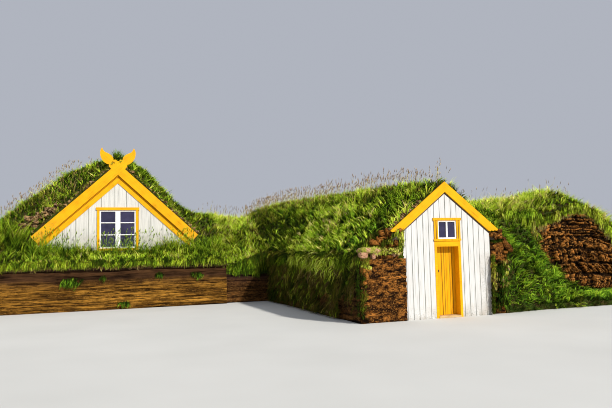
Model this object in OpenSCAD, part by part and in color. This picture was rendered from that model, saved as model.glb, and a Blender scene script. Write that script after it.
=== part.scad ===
// Turf house: a left house with a window gable and horned bargeboards, and a long
// door house with a plank door, both banked in turf and joined by a grassed saddle.
// X runs along the two facades, Y runs away from them, Z is up, all in millimetres.
// The origin is at ground level, in the middle of the plan.

/* [Plan along the facades] */
// Thickness of the plain party wall at the left end
end_wall_t = 2500; // [2000:50:3000]
// Clear width of the room in the left house
left_room_w = 4100; // [3600:50:4600]
// Thickness of the turf wall to the right of that room
inner_wall_t = 1400; // [1200:50:1800]
// Width of the recess between the left house and the door house
recess_w = 1600; // [1200:50:2200]
// Thickness of the left flank wall of the door house
flank_t = 1110; // [900:10:1400]
// Clear width of the door house
door_room_w = 2600; // [2300:20:3000]
// Thickness of the right flank wall of the door house
right_flank_t = 1000; // [800:50:1400]
// Length of the wing, as far as its plain party wall
wing_w = 6690; // [6000:10:7500]

/* [Plan in depth] */
// Depth of the whole building
depth = 14000; // [13000:100:15000]
// Distance from the door gable back to the face of the front wall
left_setback = 7200; // [6600:50:7800]
// Distance from the face of the front wall back to the horned bargeboards
gable_setback = 1150; // [900:50:1400]
// Distance from the front wall's face back to the recess wall
recess_setback = 200; // [150:10:350]
// Thickness of the recess wall
recess_wall_t = 1150; // [900:50:1400]
// Distance from the door gable back to the herringbone wall
wing_setback = 3000; // [2700:50:3300]
// Depth of the wing
wing_d = 3100; // [2800:50:3400]
// Thickness of the turf walls at the back
back_wall_t = 1300; // [1000:50:1600]

/* [Turf walls] */
// Height of the long front wall
front_wall_h = 1250; // [1100:10:1400]
// Height of the recess wall
recess_wall_h = 950; // [850:10:1100]
// Height of the pier to the left of the door gable
pier_h = 1500; // [1400:10:1600]
// Depth of that pier's ledge, from the bargeboards back to the flank wall
pier_d = 450; // [400:10:600]
// How far that pier laps over the boarding
pier_lap = 120; // [80:5:150]
// Width of the pier to the right of the door gable
right_pier_w = 500; // [420:10:600]
// Depth of the right pier
right_pier_d = 1100; // [900:50:1300]
// Inward lean of a wall's face, from its foot to its top
batter = 70; // [40:5:100]
// Overhang of the sods past the wall below them
sod_lip = 45; // [20:5:80]
// Height of the herringbone wall at its crown
wing_wall_h = 2880; // [2750:10:3050]
// Thickness of the herringbone wall
wing_wall_t = 800; // [600:50:1000]
// Smallest thickness of turf over a wall or a roof
turf_min = 180; // [120:10:260]
// Rise of the turf ridge behind the horned bargeboards above the top of those boards
left_turf_rise = 280; // [150:10:400]
// Fall of a wall's top towards the saddle
wall_fall = 480; // [350:10:600]
// Rise of the turf ridge over the door house, from front to back
door_turf_rise = 420; // [300:10:500]
// Height of the saddle between the two houses, beside the left house
saddle_h = 3120; // [2900:10:3250]
// Height of the turf where the door house and the wing meet
wing_h = 3000; // [2850:10:3100]
// Height of the bank under the window gable
bank_gable_h = 1800; // [1700:10:1850]
// Distance over which the turf swells behind a gable
swell = 1500; // [1200:50:1800]

/* [Left house] */
// Height of the top of the roof boards at the ridge
left_ridge_h = 4430; // [4200:10:4700]
// Roof pitch in degrees
left_pitch = 42.5; // [40:0.5:45]
// How far the roof boards bear on the side walls
left_bearing = 550; // [400:10:700]
// Projection of the roof past the gable boarding
left_verge = 60; // [40:5:100]
// Width of a horned bargeboard
left_barge_w = 300; // [260:5:340]
// Thickness of a bargeboard
barge_t = 40; // [30:1:50]
// Width of the trim under the bargeboards
trim_w = 165; // [140:5:190]
// Thickness of the trim
trim_t = 25; // [18:1:30]
// Height of a horn's tip above the middle of the crossing
horn_h = 727; // [650:1:800]
// Width of the window opening
window_w = 1180; // [1000:10:1300]
// Height of the window opening
window_h = 1290; // [1150:10:1400]
// Height of the window's foot above ground
window_sill_h = 1940; // [1900:10:2000]
// Width of a wide wall board
wide_board_w = 405; // [360:5:450]
// Distance from the gable's middle to the next joint on its left
wide_board_shift = 124; // [90:1:150]

/* [Door house] */
// Height of the top of the roof boards at the ridge
door_ridge_h = 3130; // [3000:10:3300]
// Roof pitch in degrees
door_pitch = 38; // [36:0.5:40]
// How far the roof boards bear on the flank walls
door_bearing = 200; // [160:10:260]
// Width of a bargeboard
door_barge_w = 205; // [180:5:230]
// Length of a bargeboard's tail past the boarding
barge_tail = 250; // [210:5:290]
// Width of a narrow wall board
narrow_board_w = 162.5; // [140:0.5:190]
// Clear width of the doorway
doorway_w = 620; // [580:5:700]
// How far the doorway stands to the right of the gable's middle
doorway_shift = 40; // [0:5:60]
// Height of the doorway's head above ground
doorway_h = 1760; // [1700:10:1800]
// Height of the threshold
threshold_h = 50; // [40:5:70]
// Depth from the boarding's face to the door leaf
door_recess = 195; // [160:5:230]
// Thickness of the door leaf
leaf_t = 40; // [32:1:45]
// Gap round the moving leaf
leaf_gap = 5; // [5:0.5:8]
// Depth of the rebate that stops the leaf
rebate = 15; // [12:1:20]
// Width of the jambs and of the casing round the upper light
casing_w = 70; // [60:1:90]
// Height of the upper light's foot above ground
light_sill_h = 1950; // [1920:5:1980]
// Width of the upper light
light_w = 540; // [500:5:560]
// Height of the upper light
light_h = 460; // [420:5:500]

/* [Timber] */
// Thickness of the wall boards
board_t = 30; // [24:1:36]
// Thickness of the roof boards
deck_t = 40; // [30:1:50]
// Depth of a rafter, square to the roof
rafter_d = 100; // [80:5:120]
// Thickness of a rafter
rafter_t = 70; // [60:5:90]
// Clear distance aimed at between rafters
rafter_pitch = 1200; // [1000:50:1500]
// Thickness of casings on the face of the boarding
casing_t = 25; // [20:1:32]
// Thickness of a sash
sash_t = 35; // [30:1:40]
// Width of a sash's frame
sash_w = 45; // [35:1:55]
// Width of the middle post of the large window
window_post_w = 160; // [140:5:180]
// Thickness of the glass
glass_t = 4; // [3:1:6]
// Width of the joint between two wall boards
joint_w = 8; // [5:1:10]
// Depth of that joint
joint_d = 8; // [5:1:10]
// Bedding gap between turf, roof boards and the pieces under them
bed_gap = 0.3; // [0.2:0.1:0.5]

/* [Hinge] */
// Diameter of a hinge pin
pin_d = 14; // [12:1:18]
// Running gap round a hinge pin
pin_gap = 1; // [1:0.5:2]
// Height of a hinge eye
eye_h = 40; // [35:1:50]
// Thickness of a hinge strap
strap_t = 6; // [5:1:8]
// Height of a hinge strap
strap_w = 40; // [35:1:50]

/* [Hidden] */
$fn = 48;

turf_green = "olivedrab";
turf_brown = "saddlebrown";
paint_yellow = "goldenrod";
paint_white = "whitesmoke";
bare_timber = "burlywood";

function mix(a, b, k) = a + (b - a) * k;
function unit(a, b, t) = max(0, min(1, (t - a) / (b - a)));
function ease(a, b, t) = let (k = unit(a, b, t)) k * k * (3 - 2 * k);
function steps(a, b, n) = [for (i = [0 : n]) mix(a, b, i / n)];

// Places along X
total_w = end_wall_t + left_room_w + inner_wall_t + recess_w + flank_t + door_room_w
  + right_flank_t + wing_w;
x_end = -total_w / 2;
x_left_room = x_end + end_wall_t;
x_left_mid = x_left_room + left_room_w / 2;
x_inner = x_left_room + left_room_w;
x_recess = x_inner + inner_wall_t;
x_flank = x_recess + recess_w;
x_door_room = x_flank + flank_t;
x_door_mid = x_door_room + door_room_w / 2;
x_right_wall = x_door_room + door_room_w;
x_wing = x_right_wall + right_flank_t;
x_wing_end = x_wing + wing_w;
x_bank = x_right_wall + right_pier_w;

// Places along Y
y_front = -depth / 2;
y_back = depth / 2;
y_door_boards = y_front + barge_t;
y_leaf = y_door_boards + door_recess;
y_left_face = y_front + left_setback;
y_left_barge = y_left_face + gable_setback;
y_left_roof = y_left_barge + barge_t;
y_left_boards = y_left_roof + left_verge;
lining = 90;
y_left_wall_back = y_left_boards + board_t + lining;
y_recess = y_left_face + recess_setback;
y_pier_back = y_front + pier_d;
y_right_pier_back = y_front + right_pier_d;
y_wing = y_front + wing_setback;
y_wing_back = y_wing + wing_d;
y_room_end = y_back - back_wall_t;

// Roof lines: heights fall from the ridge with the distance t from the middle
left_slope = tan(left_pitch);
left_deck_dz = deck_t / cos(left_pitch);
left_t_end = left_room_w / 2 + left_bearing;
left_wall_h = left_ridge_h - left_deck_dz - left_slope * left_t_end;
left_barge_dz = left_barge_w / cos(left_pitch);
door_slope = tan(door_pitch);
door_deck_dz = deck_t / cos(door_pitch);
door_t_end = door_room_w / 2 + door_bearing;
door_wall_h = door_ridge_h - door_deck_dz - door_slope * door_t_end;
door_barge_dz = door_barge_w / cos(door_pitch);
function left_deck_z(t) = left_ridge_h - left_slope * t;
function door_deck_z(t) = door_ridge_h - door_slope * t;

// Widths of the turf slopes, measured from each ridge
left_t_left = x_left_mid - x_end;
left_t_right = x_recess - x_left_mid;
door_t_left = x_door_mid - x_flank;
door_t_right = x_wing - x_door_mid;
step_w = 60;

// Heights of the outer edges of the walls that carry the turf
inner_edge_h = left_wall_h - wall_fall;
end_edge_h = left_wall_h - turf_min / 2;
flank_edge_h = door_wall_h - wall_fall;
right_edge_h = door_wall_h - wall_fall / 4;
saddle_sag = 300;
back_drop = 380;
function back_fall(y) = back_drop * ease(y_back - swell, y_back, y);

// Height of the green surface at the recess, from the wall to the back
function recess_z(y) = mix(recess_wall_h + turf_min, saddle_h, ease(y_recess, y_recess + 2 * swell, y));

// Height of the turf over the left house: its front follows the bargeboards, and behind
// them it swells to a rounded mound, given as shares of the way from the edge to the ridge
left_mound_left = [[0, 1], [0.12, 0.98], [0.2, 0.91], [0.31, 0.84], [0.41, 0.73], [0.55, 0.56],
  [0.69, 0.4], [0.82, 0.22], [1, 0]];
left_mound_right = [[0, 1], [0.18, 0.96], [0.34, 0.77], [0.44, 0.57], [0.55, 0.36], [0.71, 0.1],
  [0.87, 0.02], [1, 0]];
rake_cover = 60;
left_turf_ridge = left_ridge_h + left_barge_dz + rake_cover;
left_turf_h = left_ridge_h + left_barge_dz + left_turf_rise;
function left_outer_z(side, y) = side < 0
  ? left_wall_h + turf_min * mix(1.5, 2, ease(y_left_roof, y_left_roof + swell, y))
  : recess_z(y);
function left_front_z(side, t, y) =
  let (t_edge = side < 0 ? left_t_left : left_t_right,
       z_end = left_turf_ridge - left_slope * left_t_end)
  t <= left_t_end ? left_turf_ridge - left_slope * t
    : mix(z_end, left_outer_z(side, y), ease(left_t_end - turf_min, t_edge, t));
function left_full_z(side, t, y) =
  let (share = side < 0 ? lookup(t / left_t_left, left_mound_left)
         : lookup(t / left_t_right, left_mound_right))
  mix(left_outer_z(side, y), left_turf_h, share);
function left_top(x, y) =
  let (side = x < x_left_mid ? -1 : 1, t = abs(x - x_left_mid))
  mix(left_front_z(side, t, y), left_full_z(side, t, y), ease(y_left_roof - turf_min, y_left_roof + swell, y))
    - back_fall(y);
function left_bottom(x, y) =
  let (side = x < x_left_mid ? -1 : 1, t = abs(x - x_left_mid),
       t_edge = side < 0 ? left_t_left : left_t_right,
       z_edge = side < 0 ? end_edge_h : inner_edge_h)
  bed_gap + (t <= left_t_end ? left_deck_z(t)
    : mix(left_wall_h, z_edge, unit(left_t_end, t_edge, t)));

// Height of the turf over the door house
door_turf_ridge = door_ridge_h + door_barge_dz;
function door_ridge_z(y) = door_turf_ridge + door_turf_rise * unit(y_front, y_back, y);
function flank_z(y) = mix(flank_edge_h + turf_min, saddle_h - turf_min,
  ease(y_recess - recess_wall_t / 2, y_recess + 2 * swell, y));
function right_z(y) = mix(right_edge_h + turf_min, wing_h, ease(y_front + pier_d, y_wing + turf_min, y))
  - (wing_h - right_edge_h - 2 * turf_min) * ease(y_wing_back - swell / 2, y_wing_back + swell, y);
function door_top(x, y) =
  let (side = x < x_door_mid ? -1 : 1, t = abs(x - x_door_mid),
       t_edge = side < 0 ? door_t_left : door_t_right,
       z_edge = side < 0 ? flank_z(y) : right_z(y),
       z_ridge = door_ridge_z(y),
       z_eaves = z_ridge - door_slope * door_t_end,
       z_front = t <= door_t_end ? z_ridge - door_slope * t
         : mix(z_eaves, z_edge, unit(door_t_end, t_edge, t)),
       z_full = mix(z_ridge, z_edge, pow(t / t_edge, 1.6)))
  mix(z_front, z_full, ease(y_front, y_front + 1.5 * swell, y)) - back_fall(y);
function door_bottom(x, y) =
  let (side = x < x_door_mid ? -1 : 1, t = abs(x - x_door_mid),
       t_edge = side < 0 ? door_t_left : door_t_right,
       z_edge = side < 0 ? flank_edge_h : right_edge_h)
  bed_gap + (t <= door_t_end ? door_deck_z(t)
    : mix(door_wall_h, z_edge, unit(door_t_end, t_edge, t)));

// Height of the bank in front of the window gable
function bank_back_z(x) =
  let (t = abs(x - x_left_mid))
  mix(bank_gable_h, left_top(x, y_left_wall_back), ease(left_t_end + turf_min, left_t_end + 4 * turf_min, t));
function bank_top(x, y) =
  mix(front_wall_h + turf_min, bank_back_z(x), unit(y_left_face, y_left_boards, y));

// Height of the herringbone wall, as shares of its length and of its crown
wing_wall_line = [[0, 0.87], [0.45, 0.84], [0.56, 0.87], [0.65, 0.98], [0.69, 1], [0.73, 0.99],
  [0.81, 0.912], [0.88, 0.78], [0.94, 0.665], [1, 0.53]];
function wing_wall_z(x) = wing_wall_h * lookup((x - x_wing) / wing_w, wing_wall_line);

// Height of the turf ridge behind it, as shares of its length and of its start
wing_ridge_line = [[0, 1], [0.32, 1.04], [0.51, 1.066], [0.57, 1.09], [0.64, 1.16], [0.68, 1.185],
  [0.71, 1.165], [0.77, 1.08], [0.84, 1.01], [0.89, 0.96], [1, 0.92]];
function wing_ridge_z(x) = wing_h * lookup((x - x_wing) / wing_w, wing_ridge_line);
wing_back_fall = 500;
function wing_top(x, y) =
  mix(wing_wall_z(x) + turf_min, wing_ridge_z(x), ease(y_wing - pier_d, y_wing + wing_wall_t + turf_min, y))
    - wing_back_fall * ease(y_wing_back - wing_wall_t, y_wing_back, y);

// The bank in front of the wing: from its foot it climbs to a crest that falls to the right
bank_foot_h = 130;
bank_low_h = 220;
bank_high_h = wing_h - turf_min;
bank_left_h = door_wall_h - turf_min / 2;
function bank_foot_y(x) = y_front + turf_min * (0.6 + unit(x_bank, x_bank + 0.18 * wing_w, x));
function bank_crest_z(x) = x < x_wing ? mix(bank_left_h, bank_left_h + turf_min, unit(x_bank, x_wing, x))
  : mix(bank_high_h, bank_low_h, ease(x_wing + 0.31 * wing_w, x_wing + 0.66 * wing_w, x));
bank_hollow = [[0, 0.38], [0.1, 0.6], [0.2, 1], [0.3, 1.5], [0.42, 2.2], [1, 2.2]];
function bank_curve(x) = x < x_wing ? 0.6 : lookup((x - x_wing) / wing_w, bank_hollow);
function right_bank_top(x, y) =
  let (y_end = x < x_wing ? y_right_pier_back : y_wing)
  mix(bank_foot_h, bank_crest_z(x), pow(unit(bank_foot_y(x), y_end, y), bank_curve(x)));

// A closed block between an upper and a lower surface over a grid
module turf_block(xs, rows, y_lo, y_hi, top, bottom) {
  nx = len(xs);
  ny = rows + 1;
  n = nx * ny;
  function spot(i, j) = let (x = xs[i]) [x, mix(y_lo(x), y_hi(x), j / rows)];
  grid = [for (i = [0 : nx - 1]) for (j = [0 : ny - 1]) spot(i, j)];
  points = concat(
    [for (p = grid) [p[0], p[1], top(p[0], p[1])]],
    [for (p = grid) [p[0], p[1], bottom(p[0], p[1])]]
  );
  function at(i, j) = i * ny + j;
  faces = concat(
    [for (i = [0 : nx - 2]) for (j = [0 : ny - 2]) [at(i, j), at(i + 1, j + 1), at(i + 1, j)]],
    [for (i = [0 : nx - 2]) for (j = [0 : ny - 2]) [at(i, j), at(i, j + 1), at(i + 1, j + 1)]],
    [for (i = [0 : nx - 2]) for (j = [0 : ny - 2])
      [n + at(i, j), n + at(i + 1, j), n + at(i + 1, j + 1)]],
    [for (i = [0 : nx - 2]) for (j = [0 : ny - 2])
      [n + at(i, j), n + at(i + 1, j + 1), n + at(i, j + 1)]],
    [for (i = [0 : nx - 2]) [at(i, 0), at(i + 1, 0), n + at(i + 1, 0), n + at(i, 0)]],
    [for (i = [0 : nx - 2])
      [at(i + 1, rows), at(i, rows), n + at(i, rows), n + at(i + 1, rows)]],
    [for (j = [0 : rows - 1]) [at(0, j + 1), at(0, j), n + at(0, j), n + at(0, j + 1)]],
    [for (j = [0 : rows - 1])
      [at(nx - 1, j), at(nx - 1, j + 1), n + at(nx - 1, j + 1), n + at(nx - 1, j)]]
  );
  polyhedron(points, faces, convexity = 6);
}

// An outline drawn in X and Z, made solid from y0 to y1
module along_y(y0, y1, outline) {
  translate([0, y1, 0]) rotate([90, 0, 0]) linear_extrude(y1 - y0) polygon(outline);
}

// An outline drawn in Y and Z, made solid from x0 to x1
module along_x(x0, x1, outline) {
  translate([x0, 0, 0]) rotate([90, 0, 90]) linear_extrude(x1 - x0) polygon(outline);
}

// A block between two corners
module block(lo, hi) {
  translate(lo) cube(hi - lo);
}

module left_front_wall() color(turf_brown) {
  along_x(x_end, x_recess, [
    [y_left_face, 0], [y_left_wall_back, 0],
    [y_left_wall_back, front_wall_h], [y_left_face + batter, front_wall_h]
  ]);
}

module left_front_bank() color(turf_green) {
  gable = left_t_end;
  xs = concat(
    steps(x_end, x_left_mid - gable - step_w, 5),
    steps(x_left_mid - gable, x_left_mid + gable, 6),
    steps(x_left_mid + gable + step_w, x_recess, 4)
  );
  turf_block(xs, 4,
    function(x) y_left_face + batter - sod_lip,
    function(x) abs(x - x_left_mid) <= gable + 1 ? y_left_boards : y_left_wall_back,
    function(x, y) bank_top(x, y),
    function(x, y) front_wall_h + bed_gap);
}

module left_end_wall() color(turf_brown) {
  along_y(y_left_wall_back, y_room_end, [
    [x_end, 0], [x_left_room, 0], [x_left_room, left_wall_h],
    [x_left_mid - left_t_end, left_wall_h], [x_end, end_edge_h]
  ]);
}

module left_inner_wall() color(turf_brown) {
  along_y(y_left_wall_back, y_room_end, [
    [x_inner, 0], [x_recess, 0], [x_recess, inner_edge_h],
    [x_left_mid + left_t_end, left_wall_h], [x_inner, left_wall_h]
  ]);
}

module left_back_wall() color(turf_brown) {
  along_y(y_room_end, y_back, [
    [x_end, 0], [x_recess, 0], [x_recess, inner_edge_h],
    [x_left_mid + left_t_end, left_wall_h], [x_left_mid, left_ridge_h - left_deck_dz],
    [x_left_mid - left_t_end, left_wall_h], [x_end, end_edge_h]
  ]);
}

// Upright joints between boards, cut into the face at y
module board_joints(x0, x1, z0, z1, y, board_w) {
  count = floor((x1 - x0) / board_w);
  for (i = [1 : count])
    if (x0 + i * board_w < x1 - joint_w)
      translate([x0 + i * board_w - joint_w / 2, y - joint_d, z0 - 10])
        cube([joint_w, 2 * joint_d, z1 - z0 + 20]);
}

window_z0 = window_sill_h;
window_z1 = window_sill_h + window_h;
window_x0 = x_left_mid - window_w / 2;
window_x1 = x_left_mid + window_w / 2;

module left_gable_boards() color(paint_white) {
  first = x_left_mid - wide_board_shift - 6 * wide_board_w;
  difference() {
    along_y(y_left_boards, y_left_boards + board_t, [
      [x_left_mid - left_t_end, front_wall_h + bed_gap], [x_left_mid + left_t_end, front_wall_h + bed_gap],
      [x_left_mid + left_t_end, left_wall_h - bed_gap],
      [x_left_mid, left_ridge_h - left_deck_dz - bed_gap],
      [x_left_mid - left_t_end, left_wall_h - bed_gap]
    ]);
    block([window_x0, y_left_boards - joint_d, window_z0],
      [window_x1, y_left_boards + board_t + joint_d, window_z1]);
    board_joints(first, first + 13 * wide_board_w, front_wall_h, left_ridge_h, y_left_boards, wide_board_w);
  }
}

// Points of a quadratic curve from a to c, drawn towards b, without its first point
function curve(a, b, c, n = 6) = [for (i = [1 : n])
  let (k = i / n) (1 - k) * (1 - k) * a + 2 * k * (1 - k) * b + k * k * c];

// The crossing of the two boards, half a board below the point where their tops meet
cross_z = left_ridge_h + left_barge_dz / 2;
horn_w = left_barge_w / 2;
board_run = left_t_end / cos(left_pitch);

// A point beside and above the middle of the crossing, in shares of the horn's height,
// turned into a length up the rake and a distance across it
function horn_point(side, up) = horn_h * [
  side * cos(left_pitch) + up * sin(left_pitch),
  up * cos(left_pitch) - side * sin(left_pitch)
];

// Outline of a horned board
function horned_board() =
  let (
    point_out = horn_point(0.415, 0.122),
    neck_out = horn_point(0.398, 0.212),
    belly = horn_point(0.674, 0.389),
    shoulder = horn_point(0.8, 0.773),
    tip = horn_point(0.711, 1),
    hollow = horn_point(0.569, 0.783),
    back = horn_point(0.243, 0.567),
    neck_in = horn_point(0.206, 0.428),
    point_in = horn_point(0.111, 0.437),
    vee = horn_point(0.001, 0.36),
    meeting = [horn_w * tan(left_pitch) + 1, horn_w]
  )
  concat(
    [[-board_run, -horn_w], [0.27 * horn_h, -horn_w], point_out, neck_out],
    curve(neck_out, horn_point(0.52, 0.2), belly, 6),
    curve(belly, horn_point(0.8, 0.52), shoulder, 6),
    curve(shoulder, horn_point(0.79, 0.9), tip, 5),
    curve(tip, horn_point(0.66, 0.84), hollow, 4),
    curve(hollow, horn_point(0.33, 0.7), back, 6),
    curve(back, horn_point(0.2, 0.49), neck_in, 3),
    [point_in, vee, meeting, [-board_run, horn_w]]
  );

// One board laid on its rake: side 1 climbs to the right, side -1 to the left
module rake_place(side) {
  translate([x_left_mid, 0, cross_z]) mirror([side < 0 ? 1 : 0, 0, 0]) rotate([0, -left_pitch, 0])
    rotate([90, 0, 0]) children();
}

module horned_barge(side) {
  half = barge_t / 2;
  y_cut = side > 0 ? y_left_barge + half : y_left_barge;
  difference() {
    translate([0, y_left_roof, 0]) rake_place(side) linear_extrude(barge_t) polygon(horned_board());
    translate([0, y_cut + half, 0]) rake_place(-side)
      translate([-board_run, -horn_w]) linear_extrude(half) square([2 * board_run, 2 * horn_w]);
  }
}

module left_barge_left() color(paint_yellow) horned_barge(1);
module left_barge_right() color(paint_yellow) horned_barge(-1);

module left_trim() color(paint_yellow) {
  dz = trim_w / cos(left_pitch);
  t_foot = left_t_end - trim_w;
  z_ridge = left_ridge_h - left_deck_dz - bed_gap;
  z_foot = z_ridge - left_slope * t_foot;
  along_y(y_left_boards - trim_t, y_left_boards, [
    [x_left_mid - t_foot, z_foot], [x_left_mid, z_ridge], [x_left_mid + t_foot, z_foot],
    [x_left_mid + t_foot, z_foot - dz], [x_left_mid, z_ridge - dz], [x_left_mid - t_foot, z_foot - dz]
  ]);
}

casing_side = 85;
casing_cap_h = 95;
cap_past = 30;
module left_window_casing() color(paint_yellow) {
  y0 = y_left_boards - casing_t;
  difference() {
    union() {
      block([window_x0 - casing_side, y0, window_z0 - casing_side],
        [window_x1 + casing_side, y_left_boards, window_z1]);
      block([window_x0 - casing_side - cap_past, y0 - 10, window_z1],
        [window_x1 + casing_side + cap_past, y_left_boards, window_z1 + casing_cap_h]);
    }
    block([window_x0, y0 - 20, window_z0], [window_x1, y_left_boards + 10, window_z1]);
  }
}

// A sash frame with posts at the given middles, seated in an opening
module sash(x0, x1, z0, z1, y0, frame_w, post_w, posts) {
  difference() {
    block([x0, y0, z0], [x1, y0 + sash_t, z1]);
    difference() {
      block([x0 + frame_w, y0 - 10, z0 + frame_w], [x1 - frame_w, y0 + sash_t + 10, z1 - frame_w]);
      for (x = posts) block([x - post_w / 2, y0 - 20, z0], [x + post_w / 2, y0 + sash_t + 20, z1]);
    }
    block([x0 + frame_w / 2, y0 + sash_t - 2 * glass_t, z0 + frame_w / 2],
      [x1 - frame_w / 2, y0 + sash_t - glass_t, z1 - frame_w / 2]);
  }
}

module left_window_sash() color(paint_white) {
  sash(window_x0, window_x1, window_z0, window_z1, y_left_boards, sash_w, window_post_w, [x_left_mid]);
}

module left_window_glass() color("slategray") {
  y0 = y_left_boards + sash_t - 2 * glass_t;
  block([window_x0 + sash_w / 2, y0, window_z0 + sash_w / 2],
    [window_x1 - sash_w / 2, y0 + glass_t, window_z1 - sash_w / 2]);
}

// A ridge beam and the rafters on each side of it, which rest on the side walls
module roof_frame(x_mid, y0, y1, ridge_z, wall_z, pitch) {
  slope = tan(pitch);
  drop = rafter_d / cos(pitch);
  top_z = ridge_z - bed_gap;
  t_beam = rafter_t / 2;
  t_head = t_beam + bed_gap;
  t_foot = (top_z - wall_z) / slope;
  t_cut = t_foot - drop / slope;
  beam_d = 1.3 * rafter_d;
  bays = round((y1 - y0 - rafter_t) / rafter_pitch);
  block([x_mid - t_beam, y0, top_z - slope * t_beam - beam_d], [x_mid + t_beam, y1, top_z - slope * t_beam]);
  for (y = steps(y0, y1 - rafter_t, bays)) for (side = [-1, 1])
    along_y(y, y + rafter_t, [
      [x_mid + side * t_head, top_z - slope * t_head], [x_mid + side * t_foot, wall_z],
      [x_mid + side * t_cut, wall_z], [x_mid + side * t_head, top_z - slope * t_head - drop]
    ]);
}

module left_rafters() color(bare_timber) {
  roof_frame(x_left_mid, y_left_wall_back, y_room_end, left_ridge_h - left_deck_dz, left_wall_h, left_pitch);
}

// The boards of one roof slope
module deck(x_mid, side, y0, y1, ridge_z, slope, dz, t_end) {
  along_y(y0, y1, [
    [x_mid, ridge_z], [x_mid, ridge_z - dz],
    [x_mid + side * t_end, ridge_z - slope * t_end - dz],
    [x_mid + side * t_end, ridge_z - slope * t_end]
  ]);
}

module left_deck_left() color(bare_timber)
  deck(x_left_mid, -1, y_left_roof, y_back, left_ridge_h, left_slope, left_deck_dz, left_t_end);
module left_deck_right() color(bare_timber)
  deck(x_left_mid, 1, y_left_roof, y_back, left_ridge_h, left_slope, left_deck_dz, left_t_end);

function left_turf_start(x) =
  abs(x - x_left_mid) <= left_t_end + 1 ? y_left_roof : y_left_wall_back;

module left_turf_left() color(turf_green) {
  xs = concat(
    steps(x_end, x_left_mid - left_t_end - step_w, 5),
    steps(x_left_mid - left_t_end, x_left_mid, 5)
  );
  turf_block(xs, 12, function(x) left_turf_start(x), function(x) y_back,
    function(x, y) left_top(x, y), function(x, y) left_bottom(x, y));
}

module left_turf_right() color(turf_green) {
  xs = concat(
    steps(x_left_mid, x_left_mid + left_t_end, 5),
    steps(x_left_mid + left_t_end + step_w, x_recess, 3)
  );
  turf_block(xs, 12, function(x) left_turf_start(x), function(x) y_back,
    function(x, y) left_top(x, y), function(x, y) left_bottom(x, y));
}

module recess_wall() color(turf_brown) {
  along_x(x_recess, x_flank, [
    [y_recess, 0], [y_recess + recess_wall_t, 0],
    [y_recess + recess_wall_t, recess_wall_h], [y_recess + batter, recess_wall_h]
  ]);
}

function saddle_top(x, y) =
  let (k = unit(x_recess, x_flank, x))
  mix(recess_z(y), flank_z(y), k) - saddle_sag * k * (1 - k) * ease(y_recess, y_recess + swell, y)
    - back_fall(y);

module saddle_turf() color(turf_green) {
  y_step = y_recess + recess_wall_t;
  union() {
    turf_block(steps(x_recess, x_flank, 4), 4, function(x) y_recess + batter - sod_lip,
      function(x) y_step, function(x, y) saddle_top(x, y), function(x, y) recess_wall_h + bed_gap);
    turf_block(steps(x_recess, x_flank, 4), 8, function(x) y_step,
      function(x) y_back, function(x, y) saddle_top(x, y), function(x, y) 0);
  }
}

doorway_x0 = x_door_mid - doorway_w / 2 + doorway_shift;
doorway_x1 = doorway_x0 + doorway_w;
frame_x0 = doorway_x0 - casing_w;
frame_x1 = doorway_x1 + casing_w;
lintel_top = light_sill_h - 40;

module door_boards(x0, x1, z0) {
  eaves_z = door_deck_z(door_room_w / 2) - door_deck_dz - bed_gap;
  ridge_z = door_ridge_h - door_deck_dz - bed_gap;
  difference() {
    intersection() {
      along_y(y_door_boards, y_door_boards + board_t, [
        [x_door_room, 0], [x_right_wall, 0], [x_right_wall, eaves_z],
        [x_door_mid, ridge_z], [x_door_room, eaves_z]
      ]);
      block([x0, y_door_boards, z0], [x1, y_door_boards + board_t, ridge_z]);
    }
    board_joints(x_door_room, x_right_wall, 0, ridge_z, y_door_boards, narrow_board_w);
  }
}

module door_gable_left() color(paint_white) door_boards(x_door_room, frame_x0, 0);
module door_gable_right() color(paint_white) door_boards(frame_x1, x_right_wall, 0);

light_x0 = (frame_x0 + frame_x1 - light_w) / 2;
light_x1 = light_x0 + light_w;
light_z1 = light_sill_h + light_h;

module door_gable_top() color(paint_white) {
  difference() {
    door_boards(frame_x0, frame_x1, lintel_top);
    block([light_x0, y_door_boards - joint_d, light_sill_h],
      [light_x1, y_door_boards + board_t + joint_d, light_z1]);
  }
}

frame_back = y_leaf + leaf_t;
module door_frame() color(paint_yellow) {
  difference() {
    block([frame_x0, y_door_boards - 8, 0], [frame_x1, frame_back, lintel_top]);
    block([doorway_x0, y_door_boards - 20, -10], [doorway_x1, frame_back + 10, doorway_h]);
    block([doorway_x0 - rebate, y_leaf - leaf_gap, -10],
      [doorway_x1 + rebate, frame_back + 10, doorway_h + rebate]);
  }
}

module door_threshold() color(bare_timber) {
  block([doorway_x0, y_door_boards - 25, 0], [doorway_x1, y_leaf - leaf_gap, threshold_h]);
  block([doorway_x0 - rebate, y_leaf - leaf_gap, 0], [doorway_x1 + rebate, frame_back, threshold_h]);
}

leaf_x0 = doorway_x0 - rebate + leaf_gap;
leaf_x1 = doorway_x1 + rebate - leaf_gap;
leaf_z0 = threshold_h + leaf_gap;
leaf_z1 = doorway_h + rebate - leaf_gap;
plank_count = 5;
axis_x = doorway_x1 + rebate - leaf_gap / 2;
axis_y = frame_back + pin_d / 2 + pin_gap + strap_t;
pin_r = pin_d / 2;
eye_r = pin_r + pin_gap + strap_t;
hinge_inset = 250;
hinge_zs = [leaf_z0 + hinge_inset, leaf_z1 - hinge_inset];

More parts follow.
